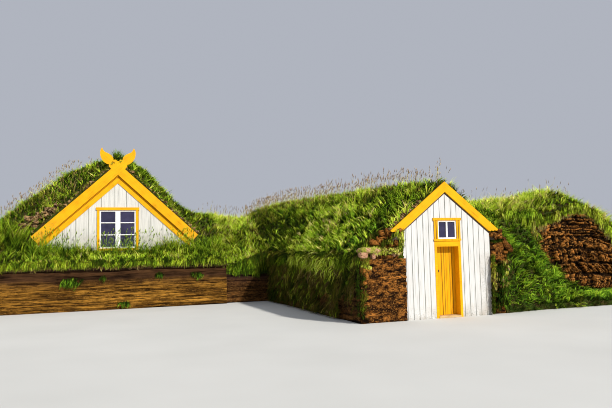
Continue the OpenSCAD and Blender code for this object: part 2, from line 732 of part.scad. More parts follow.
module door_leaf() color(paint_yellow) {
  difference() {
    union() {
      block([leaf_x0, y_leaf, leaf_z0], [leaf_x1, frame_back, leaf_z1]);
      for (z = hinge_zs) {
        block([leaf_x0 + strap_w, frame_back, z - strap_w / 2],
          [axis_x - pin_d, frame_back + strap_t, z + strap_w / 2]);
        block([axis_x - 2.5 * eye_r, frame_back, z - eye_h / 2],
          [axis_x - pin_r - pin_gap, frame_back + strap_t, z + eye_h / 2]);
        translate([axis_x, axis_y, z - eye_h / 2]) cylinder(h = eye_h, r = eye_r);
      }
    }
    for (z = hinge_zs) translate([axis_x, axis_y, z - eye_h]) cylinder(h = 2 * eye_h, r = pin_r + pin_gap);
    board_joints(leaf_x0, leaf_x1, leaf_z0, leaf_z1, y_leaf, (leaf_x1 - leaf_x0) / plank_count);
  }
}

// Upright pins, each on a bracket that reaches round to the back of the jamb
module hinge_pins() color("dimgray") {
  bracket_h = 35;
  bracket_w = 45;
  seat = leaf_gap;
  for (z = hinge_zs) {
    z0 = z - eye_h / 2 - leaf_gap - bracket_h;
    translate([axis_x, axis_y, z0]) cylinder(h = bracket_h + leaf_gap + eye_h, r = pin_r);
    block([axis_x - pin_r, axis_y - pin_r, z0], [axis_x + bracket_w, axis_y + pin_r, z0 + bracket_h]);
    block([axis_x + seat, frame_back, z0], [axis_x + bracket_w, axis_y, z0 + bracket_h]);
  }
}

module light_casing() color(paint_yellow) {
  y0 = y_door_boards - casing_t;
  cap_h = 65;
  difference() {
    union() {
      block([frame_x0, y0, lintel_top], [frame_x1, y_door_boards, light_z1]);
      block([frame_x0 - cap_past, y0 - 5, light_z1], [frame_x1 + cap_past, y_door_boards, light_z1 + cap_h]);
      block([frame_x0 - cap_past / 2, y0 - 5, lintel_top - 10],
        [frame_x1 + cap_past / 2, y_door_boards - 8, light_sill_h]);
    }
    block([light_x0, y0 - 20, light_sill_h], [light_x1, y_door_boards + 10, light_z1]);
  }
}

module light_sash() color(paint_white) {
  sash(light_x0, light_x1, light_sill_h, light_z1, y_door_boards, 0.8 * sash_w, 0.9 * sash_w,
    [(light_x0 + light_x1) / 2]);
}

module light_glass() color("slategray") {
  inset = 0.4 * sash_w;
  y0 = y_door_boards + sash_t - 2 * glass_t;
  block([light_x0 + inset, y0, light_sill_h + inset], [light_x1 - inset, y0 + glass_t, light_z1 - inset]);
}

// A bargeboard with its tail cut level and nicked
module door_barge(side) {
  t_tip = door_room_w / 2 + barge_tail;
  z_tip = door_deck_z(t_tip) + door_barge_dz;
  nick = 14;
  z_cut = z_tip - 3 * nick;
  t_inner = (door_ridge_h - z_cut) / door_slope;
  function spot(share, up) = [x_door_mid + side * mix(t_tip, t_inner, share), z_cut + up];
  along_y(y_front, y_door_boards, [
    [x_door_mid, door_ridge_h + door_barge_dz], [x_door_mid, door_ridge_h],
    spot(1, 0), spot(0.85, -nick), spot(0.72, nick), spot(0.5, -nick / 2), spot(0.38, nick),
    spot(0.12, 0), spot(0.04, nick), [x_door_mid + side * t_tip, z_tip]
  ]);
}

module door_barge_left() color(paint_yellow) door_barge(-1);
module door_barge_right() color(paint_yellow) door_barge(1);

module door_rafters() color(bare_timber) {
  roof_frame(x_door_mid, y_door_boards + board_t, y_room_end, door_ridge_h - door_deck_dz, door_wall_h,
    door_pitch);
}

module door_deck_left() color(bare_timber)
  deck(x_door_mid, -1, y_door_boards, y_back, door_ridge_h, door_slope, door_deck_dz, door_t_end);
module door_deck_right() color(bare_timber)
  deck(x_door_mid, 1, y_door_boards, y_back, door_ridge_h, door_slope, door_deck_dz, door_t_end);

module flank_wall_left() color(turf_brown) {
  along_y(y_pier_back, y_room_end, [
    [x_flank, 0], [x_door_room, 0], [x_door_room, door_wall_h],
    [x_door_mid - door_t_end, door_wall_h], [x_flank + batter, flank_edge_h]
  ]);
}

module flank_wall_right() color(turf_brown) {
  along_y(y_right_pier_back, y_room_end, [
    [x_right_wall, 0], [x_wing, 0], [x_wing, right_edge_h],
    [x_door_mid + door_t_end, door_wall_h], [x_right_wall, door_wall_h]
  ]);
}

module door_back_wall() color(turf_brown) {
  along_y(y_room_end, y_back, [
    [x_flank, 0], [x_wing, 0], [x_wing, right_edge_h], [x_door_mid + door_t_end, door_wall_h],
    [x_door_mid, door_ridge_h - door_deck_dz], [x_door_mid - door_t_end, door_wall_h],
    [x_flank, flank_edge_h]
  ]);
}

pier_proud = 35;
pier_stone_h = 110;
function pier_face(x_side) = [[x_flank, 0], [x_side, 0], [x_side, pier_h], [x_flank + batter, pier_h]];
module left_pier() color("sienna") {
  union() {
    along_y(y_door_boards - pier_proud, y_door_boards, pier_face(x_door_room + pier_lap));
    along_y(y_door_boards, y_pier_back, pier_face(x_door_room));
  }
}

module pier_stones() color("rosybrown") {
  y0 = y_door_boards - pier_proud / 2;
  top_w = x_door_room + pier_lap - x_flank - batter;
  for (s = [[0.01, 0.29, 1], [0.4, 0.55, 0.7], [0.62, 0.86, 0.9]]) {
    x0 = x_flank + batter + s[0] * top_w;
    x1 = x_flank + batter + s[1] * top_w;
    d = 0.75 * pier_d * s[2];
    translate([0, 0, pier_h]) linear_extrude(pier_stone_h * s[2])
      polygon([[x0, y0 + 0.15 * d], [mix(x0, x1, 0.4), y0], [x1, y0 + 0.1 * d],
        [mix(x0, x1, 0.95), y0 + 0.8 * d], [mix(x0, x1, 0.2), y0 + d]]);
  }
}

module right_pier() color("sienna") {
  setback = 120;
  x_turf = x_door_mid + door_t_end;
  z_side = door_bottom(x_bank, 0) - bed_gap;
  along_y(y_door_boards + setback, y_right_pier_back, [
    [x_right_wall, 0], [x_bank, 0], [x_bank, z_side], [x_turf, door_wall_h], [x_right_wall, door_wall_h]
  ]);
}

function door_turf_start(x) =
  x < x_door_mid - door_t_end - 1 ? y_pier_back
    : x <= x_door_mid + door_t_end + 1 ? y_door_boards
    : x <= x_bank + 1 ? y_front + pier_d / 2 : y_right_pier_back;

module door_turf_left() color(turf_green) {
  xs = concat(
    steps(x_flank, x_door_mid - door_t_end - step_w, 3),
    steps(x_door_mid - door_t_end, x_door_mid, 5)
  );
  turf_block(xs, 18, function(x) door_turf_start(x), function(x) y_back,
    function(x, y) door_top(x, y), function(x, y) door_bottom(x, y));
}

module door_turf_right() color(turf_green) {
  xs = concat(
    steps(x_door_mid, x_door_mid + door_t_end, 5),
    [x_door_mid + door_t_end + step_w, x_bank],
    steps(x_bank + step_w, x_wing, 2)
  );
  turf_block(xs, 18, function(x) door_turf_start(x), function(x) y_back,
    function(x, y) door_top(x, y), function(x, y) door_bottom(x, y));
}

module wing_wall() color("sienna") {
  xs = steps(x_wing, x_wing_end, 16);
  along_y(y_wing, y_wing + wing_wall_t, concat(
    [[x_wing_end, 0], [x_wing, 0]],
    [for (x = xs) [x, wing_wall_z(x)]]
  ));
}

module wing_turf() color(turf_green) {
  xs = steps(x_wing, x_wing_end, 16);
  y_step = y_wing + wing_wall_t;
  union() {
    turf_block(xs, 3, function(x) y_wing - sod_lip, function(x) y_step,
      function(x, y) wing_top(x, y), function(x, y) wing_wall_z(x) + bed_gap);
    turf_block(xs, 6, function(x) y_step, function(x) y_wing_back,
      function(x, y) wing_top(x, y), function(x, y) 0);
  }
}

module right_bank() color(turf_green) {
  union() {
    turf_block(steps(x_bank, x_wing, 2), 5, function(x) bank_foot_y(x), function(x) y_right_pier_back,
      function(x, y) right_bank_top(x, y), function(x, y) 0);
    turf_block(steps(x_wing, x_wing_end, 16), 8, function(x) bank_foot_y(x), function(x) y_wing - sod_lip,
      function(x, y) right_bank_top(x, y), function(x, y) 0);
  }
}

left_front_wall();
left_front_bank();
left_end_wall();
left_inner_wall();
left_back_wall();
left_gable_boards();
left_barge_left();
left_barge_right();
left_trim();
left_window_casing();
left_window_sash();
left_window_glass();
left_rafters();
left_deck_left();
left_deck_right();
left_turf_left();
left_turf_right();
recess_wall();
saddle_turf();
door_gable_left();
door_gable_right();
door_gable_top();
door_frame();
door_threshold();
door_leaf();
hinge_pins();
light_casing();
light_sash();
light_glass();
door_barge_left();
door_barge_right();
door_rafters();
door_deck_left();
door_deck_right();
flank_wall_left();
flank_wall_right();
door_back_wall();
left_pier();
pier_stones();
right_pier();
door_turf_left();
door_turf_right();
wing_wall();
wing_turf();
right_bank();
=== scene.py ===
# %% [markdown]
# # A turf house, dressed in Blender
#
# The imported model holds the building's frame: turf walls, roofs, boarded gables, window and
# door. This lesson gives each of those solids its surface, and adds what a solid can't carry:
# relief on the turf walls, glazing bars, stones, and the grass that covers the roofs.
#
# Everything is in metres, X runs along the two facades, Y runs away from them and Z is up.

# %% Load the frame
import math
import bmesh
import bpy
import numpy as np
from mathutils import Matrix, Vector


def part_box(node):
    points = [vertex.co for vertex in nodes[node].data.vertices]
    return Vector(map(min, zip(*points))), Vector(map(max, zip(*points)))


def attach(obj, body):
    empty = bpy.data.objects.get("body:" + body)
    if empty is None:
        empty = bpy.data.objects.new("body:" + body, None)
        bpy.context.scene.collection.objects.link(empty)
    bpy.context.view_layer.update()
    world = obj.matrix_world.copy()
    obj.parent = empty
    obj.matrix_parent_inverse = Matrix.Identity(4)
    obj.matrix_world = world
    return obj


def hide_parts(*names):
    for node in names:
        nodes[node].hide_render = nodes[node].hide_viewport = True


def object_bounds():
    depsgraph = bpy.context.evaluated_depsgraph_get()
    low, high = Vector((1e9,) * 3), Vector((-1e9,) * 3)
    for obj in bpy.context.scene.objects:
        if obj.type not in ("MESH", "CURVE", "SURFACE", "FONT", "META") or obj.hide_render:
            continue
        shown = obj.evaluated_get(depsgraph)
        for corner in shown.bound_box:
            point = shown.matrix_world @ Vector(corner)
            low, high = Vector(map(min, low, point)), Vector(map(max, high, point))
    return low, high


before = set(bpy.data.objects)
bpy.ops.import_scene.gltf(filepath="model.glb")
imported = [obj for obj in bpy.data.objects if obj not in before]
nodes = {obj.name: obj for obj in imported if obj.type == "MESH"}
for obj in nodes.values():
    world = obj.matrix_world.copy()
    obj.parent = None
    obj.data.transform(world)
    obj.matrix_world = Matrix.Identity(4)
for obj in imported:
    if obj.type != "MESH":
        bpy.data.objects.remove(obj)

scene = bpy.context.scene
cad_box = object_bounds()
print("nodes in the frame:", len(nodes))

# %% [markdown]
# ## The camera
#
# The photograph was taken from eye height, from a little to the left of the horned gable, with
# the camera held slightly crooked. A camera can be turned with three angles, but building its
# axes by hand is clearer here: first the way it looks, then its tilt about that way.

# %% Camera
stand = Vector((-6.9, -19.9, 1.8))
turn, look_up, crooked = math.radians(20), math.radians(4.2), math.radians(1.3)
ahead = Vector((math.sin(turn) * math.cos(look_up), math.cos(turn) * math.cos(look_up), math.sin(look_up)))
level = Vector((math.cos(turn), -math.sin(turn), 0))
upright = level.cross(ahead)
right = level * math.cos(crooked) - upright * math.sin(crooked)
top = upright * math.cos(crooked) + level * math.sin(crooked)

film_width, focal_pixels, photo_width = 36.0, 600, 612
lens = bpy.data.cameras.new("front_camera")
lens.sensor_width = film_width
lens.lens = film_width * focal_pixels / photo_width
camera = bpy.data.objects.new("front_camera", lens)
scene.collection.objects.link(camera)
camera.matrix_world = Matrix(((right.x, top.x, -ahead.x, stand.x), (right.y, top.y, -ahead.y, stand.y),
                              (right.z, top.z, -ahead.z, stand.z), (0, 0, 0, 1)))
scene.camera = camera
door_middle = Vector((1.5, -7, 1))
print("camera stands", round((door_middle - stand).length, 1), "m from the door")

# %% [markdown]
# ## Light and floor
#
# Soft light from all round fills the shadows, and one broad sun from the right and above the
# camera gives the bargeboards their thin shadow and keeps the flank of the door house dark. The
# floor is pale and plain, because the model ends at the foot of its walls.

# %% Soft light, sun and floor
scene.view_settings.view_transform = "Standard"
scene.cycles.filter_width = 1.0
soft_light = bpy.data.worlds.new("soft_light")
soft_light.use_nodes = True
glow = soft_light.node_tree.nodes["Background"]
glow.inputs["Color"].default_value = (0.70, 0.74, 0.84, 1)
glow.inputs["Strength"].default_value = 0.62
scene.world = soft_light

sun_data = bpy.data.lights.new("sun", "SUN")
sun_data.energy, sun_data.angle, sun_data.color = 4.3, math.radians(3), (1.0, 0.96, 0.88)
sun = bpy.data.objects.new("sun", sun_data)
scene.collection.objects.link(sun)
towards_sun = Vector((0.42, -0.86, 0.68))
sun.rotation_euler = towards_sun.to_track_quat("Z", "Y").to_euler()

bpy.ops.mesh.primitive_plane_add(size=300)
floor = bpy.context.object
floor.name = "studio_floor"
print("sun strength", sun_data.energy)

# %% [markdown]
# ## Helpers for numbers
#
# Turf is never regular. A cheap way to disorder is lattice noise: random values on the corners
# of a grid, smoothly mixed in between. Blender has its own noise, but this one works on whole
# arrays of points at once, which matters with half a million of them.

# %% Noise over arrays of points
def corner_value(i, seed):
    """A random value from 0 to 1 for each corner of the lattice, always the same for a seed."""
    h = (i[:, 0] * 374761393 + i[:, 1] * 668265263 + i[:, 2] * 1440662683 + seed * 1274126177) & 0xFFFFFFFF
    h = ((h ^ (h >> 13)) * 1274126177) & 0xFFFFFFFF
    return ((h ^ (h >> 16)) & 0xFFFFFF) / float(0xFFFFFF)


def noise(points, size, seed=0):
    """Smooth noise from 0 to 1; size is the width of a lump, one number or one per axis."""
    q = np.asarray(points, float) / size
    cell = np.floor(q).astype(np.int64)
    f = q - cell
    f = f * f * (3 - 2 * f)
    total = np.zeros(len(q))
    for k in range(8):
        step = np.array([k & 1, k >> 1 & 1, k >> 2 & 1])
        weight = np.where(step, f, 1 - f).prod(1)
        total += weight * corner_value(cell + step, seed)
    return total


def layered(points, size, layers=3, seed=0):
    """Noise over finer and weaker noise."""
    parts = [noise(points, np.asarray(size) / 2 ** k, seed + k) / 2 ** k for k in range(layers)]
    return sum(parts) / sum(1 / 2 ** k for k in range(layers))


def ease(a, b, t):
    """0 before a and 1 after b, with a smooth way between; a may be the larger one."""
    k = np.clip((np.asarray(t, float) - a) / (b - a), 0, 1)
    return k * k * (3 - 2 * k)


test = layered(np.random.default_rng(1).random((1000, 3)) * 9, 0.5)
print("noise runs from %.2f to %.2f" % (test.min(), test.max()))

# %% [markdown]
# ## Helpers for meshes
#
# Large meshes are quickest when their arrays are handed over whole. Each new piece is told
# which body it rides on, and which finish it gets.

# %% Making a mesh from arrays
def new_piece(name, points, faces, finish, body="house", smooth=False, marks=None, uv=None):
    """faces is an (n, 3) or (n, 4) array, or a list of such arrays; marks are numbers per point."""
    groups = faces if isinstance(faces, list) else [faces]
    mesh = bpy.data.meshes.new(name)
    corners = np.concatenate([np.asarray(g).ravel() for g in groups]).astype(np.int32)
    sizes = np.concatenate([np.full(len(g), np.asarray(g).shape[1]) for g in groups])
    starts = np.concatenate([[0], np.cumsum(sizes)[:-1]]).astype(np.int32)
    mesh.vertices.add(len(points))
    mesh.vertices.foreach_set("co", np.asarray(points, np.float32).ravel())
    mesh.loops.add(len(corners))
    mesh.loops.foreach_set("vertex_index", corners)
    mesh.polygons.add(len(sizes))
    mesh.polygons.foreach_set("loop_start", starts)
    mesh.update(calc_edges=True)
    mesh.polygons.foreach_set("use_smooth", np.full(len(sizes), smooth))
    for key, values in (marks or {}).items():
        mesh.attributes.new(key, "FLOAT", "POINT").data.foreach_set("value", np.asarray(values, np.float32))
    if uv is not None:
        layer = mesh.uv_layers.new(name="OFBake")
        layer.data.foreach_set("uv", np.asarray(uv, np.float32)[corners].ravel())
    mesh.materials.append(finish)
    piece = bpy.data.objects.new(name, mesh)
    scene.collection.objects.link(piece)
    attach(piece, body)
    return piece


def triangles_of(piece):
    return sum(len(p.vertices) - 2 for p in piece.data.polygons)


# %% [markdown]
# ## Helpers for finishes
#
# A finish is a small graph of nodes. These helpers keep each one readable: `Finish` starts a
# graph with its shader, and its methods add a noise, a ramp of colours, a sum, a mix or a bump.
# A tuple stands for a colour and a plain number for a strength, so both can be handed to any of
# them in place of a node's output.

# %% Building a finish from nodes
class Finish:
    """A material while it is being built."""

    def __init__(self, name, roughness=0.9, specular=0.06):
        self.material = bpy.data.materials.new(name)
        self.material.use_nodes = True
        self.tree = self.material.node_tree
        self.shader = self.tree.nodes["Principled BSDF"]
        self.shader.inputs["Roughness"].default_value = roughness
        self.shader.inputs["Specular IOR Level"].default_value = specular
        self.place = self.node("ShaderNodeTexCoord").outputs["Object"]

    def node(self, kind, **settings):
        made = self.tree.nodes.new(kind)
        for key, value in settings.items():
            setattr(made, key, value)
        return made

    def link(self, source, target):
        if isinstance(source, (int, float)):
            target.default_value = source
        elif isinstance(source, tuple):
            target.default_value = (*source, 1)
        else:
            self.tree.links.new(source, target)

    def stretched(self, x, y, z):
        made = self.node("ShaderNodeMapping")
        self.link(self.place, made.inputs["Vector"])
        made.inputs["Scale"].default_value = (x, y, z)
        return made.outputs["Vector"]

    def noise(self, scale, detail=3, place=None, rough=0.55):
        made = self.node("ShaderNodeTexNoise")
        self.link(place or self.place, made.inputs["Vector"])
        made.inputs["Scale"].default_value = scale
        made.inputs["Detail"].default_value = detail
        made.inputs["Roughness"].default_value = rough
        return made.outputs["Fac"]

    def ramp(self, value, *stops):
        made = self.node("ShaderNodeValToRGB")
        self.link(value, made.inputs["Fac"])
        marks = made.color_ramp.elements
        while len(marks) < len(stops):
            marks.new(0.5)
        for mark, (at, colour) in zip(marks, stops):
            mark.position = at
            mark.color = (*colour, 1) if isinstance(colour, tuple) else (colour, colour, colour, 1)
        return made.outputs["Color"]

    def maths(self, how, a, b=0.0):
        made = self.node("ShaderNodeMath", operation=how)
        self.link(a, made.inputs[0])
        self.link(b, made.inputs[1])
        return made.outputs[0]

    def plus(self, a, b):
        return self.maths("ADD", a, b)

    def minus(self, a, b):
        return self.maths("SUBTRACT", a, b)

    def times(self, a, b):
        return self.maths("MULTIPLY", a, b)

    def mix(self, share, a, b):
        made = self.node("ShaderNodeMix", data_type="RGBA")
        self.link(share, made.inputs[0])
        self.link(a, made.inputs[6])
        self.link(b, made.inputs[7])
        return made.outputs[2]

    def mark(self, name):
        return self.node("ShaderNodeAttribute", attribute_name=name).outputs["Fac"]

    def axis(self, which):
        made = self.node("ShaderNodeSeparateXYZ")
        self.link(self.place, made.inputs[0])
        return made.outputs[which]

    def bump(self, height, strength=0.4, distance=0.02):
        made = self.node("ShaderNodeBump")
        self.link(height, made.inputs["Height"])
        made.inputs["Strength"].default_value = strength
        made.inputs["Distance"].default_value = distance
        self.link(made.outputs["Normal"], self.shader.inputs["Normal"])

    def colour(self, source):
        self.link(source, self.shader.inputs["Base Color"])
        return self.material

    def rough(self, source):
        self.link(source, self.shader.inputs["Roughness"])


def dress(finish, *names):
    """Give nodes of the frame a finish."""
    for name in names:
        nodes[name].data.materials.clear()
        nodes[name].data.materials.append(finish)
    print(finish.name, "on", len(names), "nodes")


# %% [markdown]
# ## Floor paint
#
# Even the floor isn't one flat colour: a faint cloudiness keeps it from looking like paper.

# %% Floor finish
floor_finish = Finish("studio_floor", 0.95, 0.1)
cloud = floor_finish.noise(0.4, 2)
pale, paler = (0.56, 0.56, 0.54), (0.62, 0.62, 0.60)
floor.data.materials.append(floor_finish.colour(floor_finish.ramp(cloud, (0.2, pale), (0.8, paler))))
print("floor from", pale, "to", paler)

# %% [markdown]
# ## White boards
#
# The gables are clad in upright boards under old white paint. Rain has run down them, so the
# stains are long and narrow, and dirt has gathered in the joints. Stretching the coordinates
# along Z turns round noise into runs, and the joints are found from X, because the boards have
# an even width. Under the horned bargeboards a narrow strip of the white is painted a darker
# yellow than theirs, their paint with painted shade from the gap under them, and a line that
# falls to both sides of the middle finds it.

# %% White paint on upright boards
def board_paint(name, first_joint, board_w, joint_dirt, foot_z, foot_h, wear, white_of, stained=None,
                rake=None):
    """wear from 0 up is how far the stains have spread; stained is (from x, to x, up to z), and
    rake the middle x, the height and the slope of the line over which a darker yellow lies, the
    bargeboard's paint with painted shade from the gap under it."""
    f = Finish(name, 0.7, 0.15)
    runs = f.noise(1.0, 4, f.stretched(26, 26, 1.6))
    grain = f.noise(1.0, 3, f.stretched(160, 160, 7))
    blotch = f.noise(2.6, 4)
    across = f.maths("FRACT", f.maths("DIVIDE", f.minus(f.axis(0), first_joint), board_w))
    from_joint = f.minus(f.maths("FRACT", f.plus(across, 0.5)), 0.5)
    from_joint = f.times(f.maths("ABSOLUTE", from_joint), board_w)
    wander = f.times(f.minus(f.noise(3.0, 2), 0.5), 0.014)
    dirt = f.ramp(f.plus(from_joint, wander), (0.0, 1.0), (joint_dirt, 0.80), (joint_dirt * 1.8, 0.0), (1, 0.0))
    streaks = (0.25, 0.54), (0.42, 0.80), (0.60, 0.93), (0.80, 1.0)
    white = f.ramp(runs, *[(at, tuple(c * share for c in white_of)) for at, share in streaks])
    low = f.ramp(f.maths("DIVIDE", f.minus(f.axis(2), foot_z), foot_h), (0.0, 1.0), (0.5, 0.45), (1.0, 0.0))
    if stained:
        from_x, to_x, up_to = stained
        near = f.ramp(f.maths("DIVIDE", f.minus(f.axis(0), from_x), to_x - from_x), (0.0, 0.0), (1.0, 1.0))
        below = f.ramp(f.maths("DIVIDE", f.axis(2), up_to), (0.60, 1.0), (1.0, 0.10))
        low = f.maths("MAXIMUM", low, f.times(f.times(near, below), 1.25))
    stain_at = f.ramp(f.plus(f.times(runs, 0.45), f.times(blotch, 0.55)), (0.47 - wear, 0.0),
                      (0.60 - wear, 1.0))
    stain = f.times(f.times(stain_at, 0.62), f.plus(low, 0.12))
    painted = f.mix(stain, white, f.ramp(blotch, (0.3, (0.22, 0.19, 0.13)), (0.7, (0.38, 0.31, 0.24))))
    speck = f.ramp(f.noise(34, 3), (0.56, 0.0), (0.64, 0.6))
    painted = f.mix(f.times(speck, low), painted, (0.16, 0.15, 0.12))
    painted = f.mix(dirt, painted, (0.25, 0.255, 0.22))
    if rake:
        mid_x, line_z, slope = rake
        from_mid = f.maths("ABSOLUTE", f.minus(f.axis(0), mid_x))
        over = f.maths("GREATER_THAN", f.plus(f.axis(2), f.times(from_mid, slope)), line_z)
        # The strip under the bargeboards: their paint, darker, with painted shade of the gap under them.
        painted = f.mix(over, painted, (0.50, 0.22, 0.006))
    f.bump(f.minus(grain, dirt), 0.25, 0.004)
    return f.colour(painted)


window_gable_white, door_gable_white = (0.75, 0.74, 0.695), (0.76, 0.755, 0.74)
window_boards = board_paint("white_window_gable", -8.504, 0.405, 0.008, 1.75, 0.9, 0.06, window_gable_white,
                            rake=(-5.95, 4.33, 0.9163))
door_boards = board_paint("white_door_gable", 0.21, 0.1625, 0.0065, 0.0, 0.35, 0.03, door_gable_white,
                          (2.40, 2.84, 1.80))
dress(window_boards, "left_gable_boards")
dress(door_boards, "door_gable_left", "door_gable_right", "door_gable_top")

# %% [markdown]
# ## Golden yellow paint
#
# Bargeboards, casings and the door carry a deep golden paint. It is darker along the grain, has
# chalked a little in patches, and has flaked in specks near the lower ends of the horned boards.
# The grain has to follow each board, so each finish is turned to its rake.

# %% Yellow paint
def yellow_paint(name, lean, flaked_below=None):
    """lean turns the grain to the board's rake, in degrees."""
    f = Finish(name, 0.6, 0.12)
    turned = f.node("ShaderNodeMapping")
    f.link(f.place, turned.inputs["Vector"])
    turned.inputs["Rotation"].default_value = (0, math.radians(lean), 0)
    long_way = f.node("ShaderNodeMapping")
    f.link(turned.outputs["Vector"], long_way.inputs["Vector"])
    long_way.inputs["Scale"].default_value = (2.2, 60, 60)
    grain = f.noise(1.0, 4, long_way.outputs["Vector"])
    patch = f.noise(3.5, 4)
    tone = f.plus(f.times(grain, 0.55), f.times(patch, 0.45))
    paint = f.ramp(tone, (0.30, (0.42, 0.17, 0.004)), (0.44, (0.76, 0.36, 0.003)),
                   (0.60, (0.85, 0.43, 0.004)), (0.80, (0.92, 0.52, 0.010)))
    f.rough(f.ramp(patch, (0.3, 0.42), (0.7, 0.66)))
    f.bump(grain, 0.22, 0.004)
    if flaked_below:
        specks = f.ramp(f.noise(34, 5, rough=0.7), (0.54, 0.0), (0.58, 1.0))
        low = f.ramp(f.maths("DIVIDE", f.axis(2), flaked_below), (0.72, 1.0), (1.0, 0.0))
        paint = f.mix(f.times(specks, low), paint, (0.20, 0.15, 0.09))
    return f.colour(paint)


dress(yellow_paint("yellow_rake_left", 42.5, 3.1), "left_barge_left")
dress(yellow_paint("yellow_rake_right", -42.5, 2.75), "left_barge_right")
dress(yellow_paint("yellow_trim", 40), "left_trim")
dress(yellow_paint("yellow_door_rake_left", 38), "door_barge_left")
dress(yellow_paint("yellow_door_rake_right", -38), "door_barge_right")
dress(yellow_paint("yellow_level", 0), "left_window_casing", "door_frame")

# %% [markdown]
# ### Planks
#
# The door is made of upright planks of different widths, and boards meet in the casing of the
# small light. Cut grooves would need other solids, so dark lines at given X stand for them, with
# a dent in the bump along each.

# %% Planks in yellow paint
def grooved_paint(name, lines, half_w, low_z, high_z):
    """The same paint with a dark groove along Z at each of the given X."""
    f = Finish(name, 0.6, 0.12)
    grain = f.noise(1.0, 4, f.stretched(60, 60, 2.2))
    groove = 0.0
    for x in lines:
        near = f.ramp(f.maths("ABSOLUTE", f.minus(f.axis(0), x)), (half_w * 0.6, 1.0), (half_w, 0.0))
        groove = f.maths("MAXIMUM", near, groove)
    inside = f.times(f.maths("GREATER_THAN", f.axis(2), low_z), f.maths("LESS_THAN", f.axis(2), high_z))
    groove = f.times(groove, inside)
    f.bump(f.minus(grain, f.times(groove, 2.0)), 0.3, 0.004)
    paint = f.ramp(grain, (0.30, (0.50, 0.21, 0.004)), (0.48, (0.76, 0.36, 0.003)), (0.75, (0.86, 0.46, 0.006)))
    return f.colour(f.mix(groove, paint, (0.16, 0.07, 0.010)))


casing_edges, plank_joints = (1.228, 1.872), (1.33, 1.475, 1.55, 1.71, 1.785)
dress(grooved_paint("yellow_light_casing", casing_edges, 0.013, 1.95, 2.42), "light_casing")
dress(grooved_paint("yellow_plank_door", plank_joints, 0.009, 0.0, 2.0), "door_leaf")

# %% [markdown]
# ## Sashes, glass and iron
#
# The glass is painted almost black with a violet cast: painted shade for the dark rooms behind,
# and a painted reflection. It stays an opaque finish, which is quick to render and hides the empty
# room. The sashes are white and a little glossy, and the hinge pins are rusty iron.

# %% Sash paint, glass and iron
sash = Finish("white_sash_paint", 0.4, 0.45)
worn = sash.noise(14, 4)
sash.bump(worn, 0.15, 0.003)
sash_finish = sash.colour(sash.ramp(worn, (0.25, (0.66, 0.66, 0.64)), (0.5, (0.88, 0.88, 0.88)),
                                    (0.8, (0.92, 0.92, 0.93))))
dress(sash_finish, "left_window_sash", "light_sash")

pane = Finish("old_window_glass", 0.08, 0.6)
wave = pane.noise(2.2, 2)
pane.bump(wave, 0.12, 0.01)
# Almost black as painted shade of the dark room, violet as a painted reflection.
pane_finish = pane.colour(pane.ramp(wave, (0.3, (0.012, 0.010, 0.030)), (0.7, (0.040, 0.036, 0.085))))
dress(pane_finish, "left_window_glass", "light_glass")

iron = Finish("forged_iron", 0.6, 0.5)
iron.shader.inputs["Metallic"].default_value = 0.8
rust = iron.noise(40, 4)
iron.bump(rust, 0.3, 0.002)
iron_finish = iron.colour(iron.ramp(rust, (0.35, (0.05, 0.045, 0.042)), (0.65, (0.16, 0.075, 0.03))))
dress(iron_finish, "hinge_pins")

# %% [markdown]
# ## Bare wood
#
# Bare wood shows on the threshold and under the roofs. Its fibres are noise stretched along each
# board. The front edges of the left roof boards are painted a darker yellow than the bargeboards,
# their paint with painted shade from the gap under them, and that paint is found by how far in
# front a point lies.

# %% Bare wood
def timber(name, roughness, stretch, *tones):
    """A finish with fibres, and its colour, not linked yet."""
    f = Finish(name, roughness)
    fibres = f.noise(1.0, 4, f.stretched(*stretch))
    f.bump(fibres, 0.4, 0.004)
    return f, f.ramp(fibres, *tones)


along_x, along_y = (5, 60, 60), (60, 5, 60)
warm_tones = (0.25, (0.22, 0.13, 0.05)), (0.5, (0.55, 0.38, 0.19)), (0.8, (0.78, 0.60, 0.36))
grey_tones = (0.25, (0.035, 0.026, 0.018)), (0.55, (0.11, 0.085, 0.060)), (0.8, (0.20, 0.165, 0.125))
wood, bare = timber("weathered_timber", 0.85, along_x, *warm_tones)
dress(wood.colour(bare), "door_threshold")
wood, bare = timber("grey_roof_timber", 0.9, along_y, *grey_tones)
dress(wood.colour(bare), "left_rafters", "door_rafters", "door_deck_left", "door_deck_right")

wood, bare = timber("roof_boards_edge_paint_and_shade", 0.85, along_y, *grey_tones)
painted_up_to = 1.55
at_edge = wood.maths("LESS_THAN", wood.axis(1), painted_up_to)
# The front edges get a darker yellow: the bargeboards' paint, with painted shade of the gap under them.
dress(wood.colour(wood.mix(at_edge, bare, (0.42, 0.17, 0.004))), "left_deck_left", "left_deck_right")

# %% [markdown]
# ## Soil under the grass
#
# Between the blades the roots and the soil show through. The turf solids stay as they are and
# get a mat of brown and green, darker than soil as painted shade under the grass, so a gap in the
# grass never looks empty.

# %% Root mat
mat = Finish("shaded_root_mat", 0.95)
lumps, fine_soil = mat.noise(6, 5), mat.noise(45, 4)
mat.bump(mat.plus(lumps, mat.times(fine_soil, 0.5)), 0.8, 0.05)
green_at = mat.ramp(lumps, (0.40, 0.0), (0.62, 1.0))
# Nearly black at the dark ends: painted shade between the blades.
green = mat.ramp(fine_soil, (0.3, (0.006, 0.010, 0.002)), (0.75, (0.060, 0.110, 0.012)))
brown = mat.ramp(fine_soil, (0.3, (0.012, 0.008, 0.004)), (0.75, (0.10, 0.065, 0.022)))
dress(mat.colour(mat.mix(green_at, green, brown)), "left_front_bank", "left_turf_left", "left_turf_right",
      "saddle_turf", "door_turf_left", "door_turf_right", "wing_turf", "right_bank")
